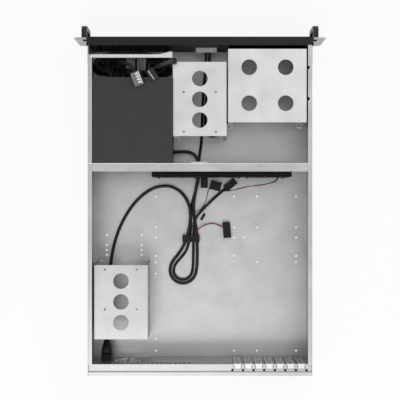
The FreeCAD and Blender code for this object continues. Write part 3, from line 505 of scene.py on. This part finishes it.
USB_CABLE = [
    (-0.012, -0.2982, 0.047), (-0.012, -0.276, 0.045), (-0.01, -0.25, 0.03), (-0.0072, -0.222, 0.01),
    (-0.0054, -0.188, 0.005), (-0.004, -0.15, 0.005), (-0.003, -0.114, 0.005), (0.002, -0.084, 0.0056),
    (0.002, -0.06, 0.0056), (0.0032, -0.038, 0.0054), (0.01, -0.014, 0.005), (0.0166, 0.008, 0.005),
    (0.0188, 0.032, 0.005), (0.0188, 0.056, 0.005), (0.0212, 0.08, 0.005), (0.0265, 0.101, 0.005),
    (0.0385, 0.116, 0.005), (0.0514, 0.1305, 0.005), (0.0538, 0.1465, 0.005), (0.044, 0.1588, 0.005),
    (0.0286, 0.1602, 0.005), (0.0166, 0.1505, 0.005), (0.0138, 0.131, 0.005), (0.0134, 0.11, 0.005),
    (0.0132, 0.088, 0.005), (0.0126, 0.066, 0.0056), (0.0128, 0.048, 0.012), (0.007, 0.033, 0.0165),
    (-0.005, 0.019, 0.0145), (-0.02, 0.004, 0.0075), (-0.035, -0.0101, 0.006),
    (-0.0505, -0.0224, 0.006),
]
DRIVE_LEAD = [
    (0.0092, 0.078, 0.0103), (0.009, 0.068, 0.0112), (0.0045, 0.0585, 0.0126), (-0.005, 0.0515, 0.009),
    (-0.018, 0.047, 0.0036), (-0.03, 0.047, 0.0036), (-0.0385, 0.051, 0.0046),
    (-0.0454, 0.0539, 0.0056),
]
BOARD_HARNESS = [
    (0.168, -0.234, 0.044), (0.168, -0.249, 0.045), (0.166, -0.261, 0.055), (0.158, -0.266, 0.07),
    (0.149, -0.264, 0.084), (0.139, -0.261, 0.091), (0.1308, -0.256, 0.091), (0.1253, -0.2439, 0.091),
]
SLEEVED_HARNESS = [
    (0.156, -0.234, 0.044), (0.153, -0.247, 0.037), (0.14, -0.253, 0.031), (0.121, -0.252, 0.035),
    (0.103, -0.251, 0.048), (0.087, -0.256, 0.064), (0.071, -0.262, 0.078), (0.056, -0.2665, 0.084),
    (0.045, -0.267, 0.0845),
]
AUX_HARNESS = [
    (0.146, -0.234, 0.044), (0.147, -0.247, 0.048), (0.144, -0.258, 0.056), (0.133, -0.2635, 0.0594),
    (0.117, -0.2645, 0.0594), (0.1045, -0.2658, 0.0586), (0.0955, -0.267, 0.064),
    (0.0945, -0.266, 0.076), (0.099, -0.261, 0.087), (0.0974, -0.2488, 0.0906),
]
# Leads of the power supply that nothing uses, folded back in front of it.
SPARE_LEADS = {
    "spare_leads_low": [
        (0.172, -0.2348, 0.047), (0.1745, -0.246, 0.044), (0.19, -0.2505, 0.03), (0.208, -0.254, 0.018),
        (0.2105, -0.2725, 0.01), (0.199, -0.2835, 0.0065), (0.172, -0.2845, 0.0065),
        (0.14, -0.2845, 0.0065), (0.11, -0.2845, 0.0065), (0.083, -0.2845, 0.0065),
        (0.065, -0.28, 0.0065), (0.0595, -0.267, 0.0065), (0.066, -0.2545, 0.0065),
        (0.083, -0.25, 0.0065), (0.112, -0.2515, 0.0065), (0.139, -0.254, 0.0075),
        (0.157, -0.251, 0.017), (0.163, -0.2435, 0.034), (0.162, -0.2348, 0.044),
    ],
    "spare_leads_middle": [
        (0.154, -0.2348, 0.038), (0.1565, -0.2455, 0.03), (0.17, -0.254, 0.0185), (0.186, -0.2565, 0.014),
        (0.1985, -0.2565, 0.0155), (0.207, -0.2625, 0.0175), (0.2075, -0.2725, 0.0195),
        (0.199, -0.279, 0.0195), (0.184, -0.2785, 0.0175), (0.164, -0.275, 0.0125),
        (0.125, -0.2735, 0.009), (0.098, -0.2735, 0.009), (0.082, -0.272, 0.0115),
        (0.0715, -0.2645, 0.0145), (0.0705, -0.2545, 0.0165), (0.081, -0.2465, 0.0155),
        (0.097, -0.244, 0.0125), (0.11, -0.2435, 0.0115), (0.124, -0.2465, 0.0125),
        (0.1365, -0.2495, 0.017), (0.1445, -0.2465, 0.0265), (0.1445, -0.2348, 0.0365),
    ],
    "spare_leads_high": [
        (0.17, -0.2348, 0.038), (0.17, -0.2455, 0.032), (0.18, -0.257, 0.0275), (0.188, -0.2695, 0.0275),
        (0.178, -0.281, 0.0225), (0.156, -0.2815, 0.0175), (0.13, -0.277, 0.0185),
        (0.108, -0.268, 0.0185), (0.09, -0.2605, 0.0215), (0.072, -0.265, 0.021),
        (0.061, -0.2745, 0.019), (0.0655, -0.286, 0.0175), (0.083, -0.2885, 0.0175),
        (0.1, -0.2795, 0.0195), (0.12, -0.2665, 0.0235), (0.137, -0.257, 0.0285),
        (0.149, -0.2475, 0.033), (0.15, -0.2348, 0.0445),
    ],
    "spare_leads_side": [
        (0.16, -0.2348, 0.05), (0.161, -0.246, 0.046), (0.157, -0.2585, 0.0365), (0.144, -0.266, 0.03),
        (0.125, -0.2605, 0.0285), (0.104, -0.252, 0.0285), (0.085, -0.2475, 0.0285),
        (0.071, -0.2465, 0.0275), (0.061, -0.2515, 0.0275), (0.0585, -0.26, 0.028),
        (0.064, -0.268, 0.029), (0.0745, -0.271, 0.03), (0.09, -0.271, 0.0295),
        (0.112, -0.2715, 0.0285), (0.136, -0.274, 0.0295), (0.156, -0.2705, 0.0335),
        (0.1655, -0.26, 0.0405), (0.1665, -0.2475, 0.0475), (0.1655, -0.2348, 0.0515),
    ],
    "spare_leads_top": [
        (0.17, -0.2348, 0.05), (0.174, -0.247, 0.052), (0.189, -0.2535, 0.048), (0.205, -0.26, 0.042),
        (0.2045, -0.276, 0.038), (0.186, -0.287, 0.0355), (0.155, -0.2885, 0.038), (0.125, -0.287, 0.038),
        (0.1, -0.2865, 0.038), (0.08, -0.2815, 0.038), (0.067, -0.2695, 0.038), (0.069, -0.2545, 0.0375),
        (0.087, -0.2465, 0.0375), (0.108, -0.2455, 0.038), (0.126, -0.2455, 0.04), (0.1405, -0.241, 0.047),
        (0.1435, -0.2348, 0.0505),
    ],
}
FRONT_LEADS = [
    (-0.0185, -0.2978, 0.047), (-0.0185, -0.28, 0.046), (-0.0185, -0.26, 0.034), (-0.016, -0.237, 0.014),
    (-0.0138, -0.212, 0.005), (-0.0116, -0.18, 0.005), (-0.0105, -0.152, 0.005),
    (-0.0125, -0.134, 0.005), (-0.025, -0.1255, 0.005), (-0.037, -0.1335, 0.005),
    (-0.0375, -0.152, 0.005),
]
FAN_WIRE = [
    (-0.157, -0.0452, 0.008), (-0.1545, -0.0395, 0.006), (-0.147, -0.035, 0.003),
    (-0.13, -0.0312, 0.0016), (-0.112, -0.0288, 0.0016), (-0.096, -0.0272, 0.0016),
    (-0.08, -0.023, 0.0016), (-0.067, -0.0196, 0.0016), (-0.056, -0.0182, 0.003),
    (-0.0455, -0.0182, 0.006),
]
SPARE_WIRE = [
    (-0.021, -0.0255, 0.007), (-0.0172, -0.0225, 0.0055), (-0.0148, -0.012, 0.002), (-0.0125, 0.0, 0.0016),
    (-0.0085, 0.008, 0.002), (-0.0045, 0.0155, 0.0055), (0.002, 0.021, 0.0092), (0.011, 0.024, 0.0092),
]


# ---------------------------------------------------------------- how a cord is made

def nurbs(name, route, thickness=0.0):
    """A smooth line by the route's points, as a round cord if it has a thickness in metres."""
    curve = bpy.data.curves.new(name, "CURVE")
    curve.dimensions = "3D"
    curve.resolution_u = 10
    curve.bevel_depth = thickness / 2
    curve.bevel_resolution = 4
    curve.use_fill_caps = True
    spline = curve.splines.new("NURBS")
    spline.points.add(len(route) - 1)
    for point, place in zip(spline.points, route):
        point.co = (*place, 1)
    # These two come after the points: set before them, they would leave straight runs.
    spline.order_u = 3
    spline.use_endpoint_u = True
    return new_object(name, curve, None)


def centreline(route):
    """Points along the route's smooth line."""
    probe = nurbs("probe", route)
    mesh = as_mesh(probe)
    points = [vertex.co.copy() for vertex in mesh.vertices]
    bpy.data.objects.remove(probe)
    bpy.data.meshes.remove(mesh)
    return points


def distances(points):
    """How far along its line each point lies."""
    return list(accumulate(
        ((after - before).length for before, after in zip(points, points[1:])), initial=0.0
    ))


def sides_along(points):
    """Two directions across the line at each point, which turn no more than the line does."""
    frames = []
    across = None
    for index in range(len(points)):
        ahead = points[min(index + 1, len(points) - 1)] - points[max(index - 1, 0)]
        ahead.normalize()
        if across is None:
            across = ahead.cross(Vector(UP))
            if across.length < 0.2:
                across = ahead.cross(Vector(BACK))
        across = (across - ahead * across.dot(ahead)).normalized()
        frames.append((across.copy(), across.cross(ahead)))
    return frames


def offset_line(points, reach, turn, pitch):
    """A line beside another, wound about it once in each pitch, or straight if that is 0."""
    beside = []
    for point, (across, up), run in zip(points, sides_along(points), distances(points)):
        angle = turn + (math.tau * run / (pitch * MM) if pitch else 0)
        beside.append(point + (across * math.cos(angle) + up * math.sin(angle)) * (reach * MM))
    return beside


def strands_mesh(name, strands, around=8):
    """One mesh of round strands; each is its line, its radius and its material."""
    shape = bmesh.new()
    layer = shape.loops.layers.uv.new("UVMap")
    finishes = []
    for points, radius, finish in strands:
        if finish not in finishes:
            finishes.append(finish)
        rings = [
            ring(shape, point, across, up, radius * MM, around)
            for point, (across, up) in zip(points, sides_along(points))
        ]
        runs = distances(points)
        faces = []
        for low, high, start, end in zip(rings, rings[1:], runs, runs[1:]):
            for k, face in enumerate(band(shape, low, high)):
                face.smooth = True
                corners = ((k, start), (k + 1, start), (k + 1, end), (k, end))
                for loop, (step, along) in zip(face.loops, corners):
                    loop[layer].uv = (step / around, along)
                faces.append(face)
        faces += [shape.faces.new(rings[0]), shape.faces.new(rings[-1])]
        for face in faces:
            face.material_index = finishes.index(finish)
    return new_object(name, new_mesh(name, shape, finishes))


def wires(count, reach, radius, pitch, core=False):
    """Black wires in a ring about a loom's line, with one in its middle if it has a core."""
    loom = [(reach, k * math.tau / count, pitch, radius, BLACK_SHEATH) for k in range(count)]
    return loom + [(0, 0, 0, radius, BLACK_SHEATH)] if core else loom


def pair(reach, radius, pitch=0, turn=2.1, sheaths=(RED_SHEATH, BLACK_SHEATH)):
    """Two wires beside each other, one red and one black as a rule, a little askew."""
    return [
        (reach, turn + side * math.pi, pitch, radius, sheath) for side, sheath in enumerate(sheaths)
    ]


def round_cord(name, route, width, finish, far_end, node, **facts):
    """A round cord on the route, which stands for its plain solid."""
    cord = nurbs(name, route, width * MM)
    cord.data.materials.append(finish)
    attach(cord, "case")
    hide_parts(node)
    length = distances(centreline(route))[-1]


def stranded_cord(name, route, strands, node=None, with_pieces=()):
    """A limp cord of strands; each is its reach, turn, pitch, radius and material."""
    line = centreline(route)
    cord = strands_mesh(name, [
        (offset_line(line, reach, turn, pitch), radius, finish)
        for reach, turn, pitch, radius, finish in strands
    ])
    if node:
        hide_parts(node)


# ---------------------------------------------------------------- plugs

def plain_plug(name, size, place, turn):
    """A moulded plug with eased edges, about its place."""
    half = [v / 2 for v in size]
    shape = boxes([([-v for v in half], half)])
    ease(shape, 0.6)
    shape.transform(stand_at(place, turn))
    return piece(name, shape, BLACK_NYLON)


def board_socket():
    """The many-way plug: an open housing, four bright contacts in it, a bar and bent tails."""
    stand = stand_at((120, -232, 0), 22)
    bottom, rim, top = 86.2, 93.2, 96.1
    made = piece("board_socket", boxes([
        ((-8, -13, bottom), (9, 13, rim + 0.2)), ((3.6, -13, rim), (9, 13, top)),
        ((-8, -13, rim), (-5.4, 13, 95.6)), ((-5.6, -13, rim), (3.8, -11.6, 95.4)),
        ((-5.6, 11.6, rim), (3.8, 13, 95.4)),
    ], stand), AGED_NYLON)
    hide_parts("board_plug")
    contacts = bmesh.new()
    for along in (-8.7, -2.9, 2.9, 8.7):
        loft(contacts, [
            [
                contacts.verts.new(stand @ Vector((x * MM, (y + along) * MM, up * MM)))
                for x, y in ((-4.6, -2.7), (3.2, -0.6), (-4.6, 2.3))
            ] for up in (rim + 0.1, rim + 2)
        ])
    piece("board_contacts", contacts, CONTACT_TIN)
    bar = boxes([((-7.35, -12.5, 95.55), (-6.05, 12.5, 96.05))], stand)
    piece("board_plug_bar", bar, CONTACT_TIN)
    tails = [
        ([
            stand @ Vector((
                (-8 - 4.6 * math.sin(turn)) * MM, (along + 1.6 * math.cos(turn)) * MM,
                (90.5 + 2.2 * math.sin(turn)) * MM,
            )) for turn in (math.pi * k / 10 for k in range(11))
        ], 0.75, BLACK_SHEATH) for along in (-9, -3, 3, 9)
    ]
    strands_mesh("board_plug_tails", tails)
    return made


def sleeve_end():
    """Shrunk ring that holds the end of the braid, with the ends of the wires inside it."""
    line = centreline(SLEEVED_HARNESS)
    tip, ahead = line[-1], (line[-1] - line[-2]).normalized()
    across, up = sides_along(line)[-1]
    profile = [
        (3.6, -6.5), (5.3, -6.5), (5.6, -6), (5.6, -0.4), (5.2, 0), (4.2, 0), (4.0, -0.6), (3.6, -5),
    ]
    shape = bmesh.new()
    rings = [
        ring(shape, tip + ahead * (along * MM), across, up, reach * MM, 28) for reach, along in profile
    ]
    for low, high in zip(rings, rings[1:] + rings[:1]):
        for face in band(shape, low, high):
            face.smooth = True
    return piece("sleeve_end", shape, BLACK_NYLON)


def aux_latch():
    """The bright latch that runs along the dark plug's top."""
    latch = boxes([((1.65, -10, 94.95), (2.75, 10, 95.65))], stand_at((91.3, -239.7, 0), 34))
    piece("aux_latch", latch, CONTACT_TIN)


def mains_plug():
    """The plug in the rear inlet: a bottle-shaped moulding that runs out into the lead."""
    across, up = middle("lead_plug", X), middle("lead_plug", Z)
    back = box("lead_plug")[1][Y]
    around = 32
    turns = [math.tau * (k + 0.5) / around for k in range(around)]
    shape = bmesh.new()
    rings = []
    # Each ring is a circle that the square roots push out to a square with round corners.
    for behind, wide, tall in (
        (0, 19.6, 26.6), (6.7, 19.6, 26.6), (11.7, 18.6, 25.2), (17.2, 16, 21), (22.7, 12.8, 15.6),
        (27.2, 10.2, 11.8), (30.7, 8.8, 9.4), (34, 7.6, 7.6),
    ):
        rings.append([
            shape.verts.new((
                (across + wide / 2 * math.copysign(abs(x) ** 0.5, x)) * MM, (back - behind) * MM,
                (up + tall / 2 * math.copysign(abs(z) ** 0.5, z)) * MM,
            )) for x, z in ((math.cos(turn), math.sin(turn)) for turn in turns)
        ])
    loft(shape, rings, smooth=True)
    made = piece("mains_plug", shape, BLACK_NYLON)
    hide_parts("lead_plug")


# ---------------------------------------------------------------- the cords

def leads_from_solids():
    """The cords that stand for the plain ones of the solids."""
    round_cord(
        "mains_cord", MAINS_LEAD, 6.2, BLACK_SHEATH, far_end="object", node="mains_lead",
        stiffness="medium", with_pieces=["cable_strap"],
    )
    stranded_cord(
        "front_cable", USB_CABLE,
        pair(reach=1.4, radius=1.35, turn=0, sheaths=(BLACK_SHEATH, BLACK_SHEATH)),
        node="usb_cable", with_pieces=["header_plug"],
    )
    stranded_cord(
        "drive_wires", DRIVE_LEAD, pair(reach=0.75, radius=0.72),
        node="drive_lead", with_pieces=["drive_plug"],
    )
    stranded_cord(
        "board_wires", BOARD_HARNESS, wires(7, reach=2.6, radius=0.95, pitch=60),
        node="board_harness", with_pieces=[board_socket()],
    )
    stranded_cord(
        "sleeved_wires", SLEEVED_HARNESS, [(0, 0, 0, 5, SLEEVE)],
        node="sleeved_harness", with_pieces=[sleeve_end()],
    )
    stranded_cord(
        "side_wires", AUX_HARNESS, wires(4, reach=1.45, radius=0.9, pitch=45),
        node="aux_harness", with_pieces=["aux_plug", "side_plug_1", "side_plug_2"],
    )


def spare_looms():
    """Folded looms in front of the power supply, with four flat plugs under them."""
    loom = wires(8, reach=3.2, radius=1.2, pitch=75, core=True)
    for name, route in SPARE_LEADS.items():
        stranded_cord(name, route, loom)
    for number, (size, place, turn) in enumerate((
        ((34, 19, 5), (187, -266, 2.8), 3), ((28, 18, 5), (149, -262, 2.8), -5),
        ((26, 16, 5), (112, -263, 2.8), 4), ((24, 14, 5), (74, -266, 2.8), 12),
    ), 1):
        plain_plug(f"spare_leads_plug_{number}", size, place, turn)


def small_leads():
    """The front's second lead, the wires by the fans, and the plugs that lie about there."""
    end = plain_plug("front_leads_plug", (9, 14, 7), (-37.5, -158.5, 5), turn=0)
    stranded_cord(
        "front_leads", FRONT_LEADS, wires(6, reach=2.0, radius=1.0, pitch=90, core=True),
        with_pieces=[end],
    )
    stranded_cord(
        "fan_wire", FAN_WIRE, pair(reach=0.6, radius=0.58, pitch=70),
    )
    end = plain_plug("spare_plug", (22, 18, 12), (-31, -28.5, 6.2), turn=-14)
    stranded_cord(
        "spare_wire", SPARE_WIRE, pair(reach=0.6, radius=0.58),
        with_pieces=[end],
    )
    plain_plug("fan_plug", (14, 20, 14), (-8.4, -34.2, 7.2), turn=0)
    plain_plug("small_plug", (5, 15, 4.4), (-5.8, 34, 2.4), turn=-30)


leads_from_solids()
spare_looms()
small_leads()
aux_latch()
mains_plug()


# ---------------------------------------------------------------- folded sheet

def bright_folds():
    """Painted highlights on the outside of two folds, the bar's front edge and the shelf's: strips of the
    brighter zinc where the folds catch the light.
    """
    side = INSIDE - 0.2
    shape = boxes([
        ((-side, BAR_FRONT - 0.3, BAR_TOP + 0.3), (side, BAR_FRONT + 0.9, BAR_TOP + 1.4)),
        ((-side, 315.1, SHELF_TOP), (side, 316, SHELF_TOP + 0.8)),
    ])
    ease(shape, 0.4)
    piece("bright_folds", shape, BRIGHT_ZINC)


def panel_ends():
    """The front's black side pieces, which stand out past the body and lap over the ears."""
    near, far = 214.1, 217.9
    made = piece("panel_ends", boxes([
        ((left, -311.8, 84), (right, -296, CASE_TOP + 0.2)) for left, right in ((-far, -near), (near, far))
    ]), FINISHES["black_panel"])


def rear_floor():
    """The floor goes on behind the rear wall, under the shelf, as far as the lip, nearly black with
    painted shade from the shelf over it.
    """
    strip = boxes([((-INSIDE, 316.4, 0), (INSIDE, 336.2, 1.2))])
    piece("rear_floor", strip, DEEP_SHADE_ZINC)


bright_folds()
panel_ends()
rear_floor()


# ---------------------------------------------------------------- copies

def copies_tree(one, finish):
    """Geometry nodes that set a copy on each point, turned to the way that the point faces."""
    tree = bpy.data.node_groups.new("copies_on_points", "GeometryNodeTree")
    tree.interface.new_socket("Geometry", in_out="INPUT", socket_type="NodeSocketGeometry")
    size = tree.interface.new_socket("Size", in_out="INPUT", socket_type="NodeSocketFloat")
    size.default_value = 1.0
    tree.interface.new_socket("Geometry", in_out="OUTPUT", socket_type="NodeSocketGeometry")
    start = add(tree, "NodeGroupInput")
    facing = add(tree, "GeometryNodeInputNamedAttribute", {"Name": "facing"}, data_type="FLOAT_VECTOR")
    turned = add(
        tree, "FunctionNodeAlignRotationToVector", {"Vector": facing.outputs["Attribute"]}, axis="Z"
    )
    source = add(tree, "GeometryNodeObjectInfo", {"Object": one})
    copied = add(tree, "GeometryNodeInstanceOnPoints", {
        "Points": start.outputs["Geometry"], "Instance": source.outputs["Geometry"],
        "Rotation": turned.outputs["Rotation"], "Scale": start.outputs["Size"],
    })
    solid = add(tree, "GeometryNodeRealizeInstances", {"Geometry": copied.outputs["Instances"]})
    dressed = add(tree, "GeometryNodeSetMaterial", {
        "Geometry": solid.outputs["Geometry"], "Material": finish,
    })
    add(tree, "NodeGroupOutput", {"Geometry": dressed.outputs["Geometry"]})
    return tree, size.identifier


def copies(name, one, places, finish, size=1.0):
    """One mesh of copies, at places that are each a point and the way that it faces."""
    tree, size_input = copies_tree(one, finish)
    mesh = bpy.data.meshes.new(name)
    mesh.from_pydata([[v * MM for v in point] for point, _ in places], [], [])
    facing = mesh.attributes.new("facing", "FLOAT_VECTOR", "POINT")
    for index, (_, way) in enumerate(places):
        facing.data[index].vector = way
    made = new_object(name, mesh, None)
    spread = made.modifiers.new("copies", "NODES")
    spread.node_group = tree
    spread[size_input] = size
    copied = as_mesh(made)
    made.modifiers.clear()
    made.data = copied
    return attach(made, "case")


# ---------------------------------------------------------------- screws

def screw_head():
    """A pan head with a cross recess, 5.6 mm across, standing on its point of fixing."""
    shape = bmesh.new()
    profile = [(0, 2.0), (1.5, 1.9), (2.3, 1.5), (2.75, 0.8), (2.8, 0), (0, 0)]
    verts = [shape.verts.new((x * MM, 0, z * MM)) for x, z in profile]
    edges = [shape.edges.new(ends) for ends in zip(verts, verts[1:])]
    bmesh.ops.spin(
        shape, geom=verts + edges, cent=(0, 0, 0), axis=UP, angle=math.tau, steps=20,
        use_duplicate=False,
    )
    head = piece("screw_head", shape, None, None)
    recess = piece("cross", boxes([
        ((-1.45, -0.35, 0.8), (1.45, 0.35, 2.6)), ((-0.35, -1.45, 0.8), (0.35, 1.45, 2.6)),
    ]), None, None)
    cross = head.modifiers.new("cross", "BOOLEAN")
    cross.object = recess
    cross.operation = "DIFFERENCE"
    cross.use_self = True
    cut = as_mesh(head)
    head.modifiers.clear()
    head.data = cut
    bpy.data.objects.remove(recess)
    return head


def screws():
    """Every screw head, by what it holds; each size is a share of the 5.6 mm head."""
    head = screw_head()
    edges = [FIRST_SLOT + SLOT_PITCH * (0.5 - k) for k in range(SLOTS + 1)]
    copies(
        "slot_screws", head, [((across, 326.5, SHELF_TOP), UP) for across in edges],
        FINISHES["black_carrier"], size=0.85,
    )
    feet = [
        ((middle(node, X) + side * half, along, 2.2), UP)
        for node, half, along in (
            ("drive_bracket_front", 46.1, -120.5), ("drive_bracket_rear", 46.1, 122.8),
            ("optical_cage", 69.6, -146.5),
        ) for side in (-1, 1)
    ]
    bar = [((side * 204, -62.5, BAR_TOP), UP) for side in (-1, 1)]
    brace = [((209, -276.1, BAR_TOP), UP)]
    copies("case_screws", head, feet + bar + brace, SCREW_ZINC)
    fan_holes = 71.5
    carrier = box("fan_carrier")[1][Y]
    fans = [
        ((middle(fan, X) + side * fan_holes, carrier, middle(fan, Z) + end * fan_holes), BACK)
        for fan in ("fan_frame_1", "fan_frame_2", "fan_frame_3")
        for side in (-0.5, 0.5) for end in (-0.5, 0.5)
    ]
    copies("fan_screws", head, fans, BLACK_NYLON, size=0.9)
    ears = [
        ((side * 217, along, CASE_TOP / 2), RIGHT if side > 0 else LEFT)
        for side in (-1, 1) for along in (-293.5, -273.5)
    ]
    inlet_back = box("mains_inlet")[1][Y]
    inlet = [((middle("mains_inlet", X), inlet_back, up), BACK) for up in (12, 52)]
    handles = [
        ((middle(handle, X), -309.5, up), BACK) for handle in ("handle_left", "handle_right")
        for up in (20, 68)
    ]
    copies("ear_screws", head, ears + inlet + handles, FINISHES["black_carrier"], size=1.15)
    bpy.data.objects.remove(head)


# ---------------------------------------------------------------- slot covers

def slot_blank():
    """One slot's cover: a strip with a sunk middle, and a tab that is folded over the shelf."""
    shape = boxes([((-7.3, -0.1, 83.4), (7.3, 0.8, 85.2)), ((-6.2, 0, 84.6), (6.2, 9.4, 85.8))])
    section = [
        (-7.3, 0.8), (-7.3, -0.9), (-4, -0.9), (-2.9, 0.3), (2.9, 0.3), (4, -0.9), (7.3, -0.9),
        (7.3, 0.8),
    ]
    loft(shape, [[shape.verts.new((x * MM, y * MM, z * MM)) for x, y in section] for z in (8, 83.6)])
    return piece("slot_blank", shape, BRIGHT_ZINC, None)


def slot_gap():
    """Painted shade in the gap round a cover, in the wall and on the shelf: a thin, nearly black sheet."""
    spans = [((-8.4, 0.55, 6), (8.4, 0.85, 84)), ((-7.3, 0.9, 84.25), (7.3, 10.6, 84.5))]
    return piece("slot_gap", boxes(spans), DEEP_SHADE_ZINC, None)


def slot_middle():
    """Painted shade in the sunk middle of a cover, which makes it darker than its sides."""
    return piece("slot_middle", boxes([((-2.9, -0.1, 10), (2.9, 0.25, 82.5))]), SHADED_ZINC, None)


def in_each_slot(name, one, finish):
    """Copies of a piece, one in each slot."""
    places = [((FIRST_SLOT - SLOT_PITCH * k, SLOT_FACE, 0), UP) for k in range(SLOTS)]
    made = copies(name, one, places, finish)
    bpy.data.objects.remove(one)
    return made


def slot_covers():
    """The covers, with painted shade in the gaps round them and in their sunk middles."""
    blanks = in_each_slot("slot_blanks", slot_blank(), BRIGHT_ZINC)
    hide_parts(*[f"slot_cover_{k + 1}" for k in range(SLOTS)])
    in_each_slot("slot_gaps", slot_gap(), DEEP_SHADE_ZINC)
    in_each_slot("slot_middles", slot_middle(), SHADED_ZINC)


screws()
slot_covers()
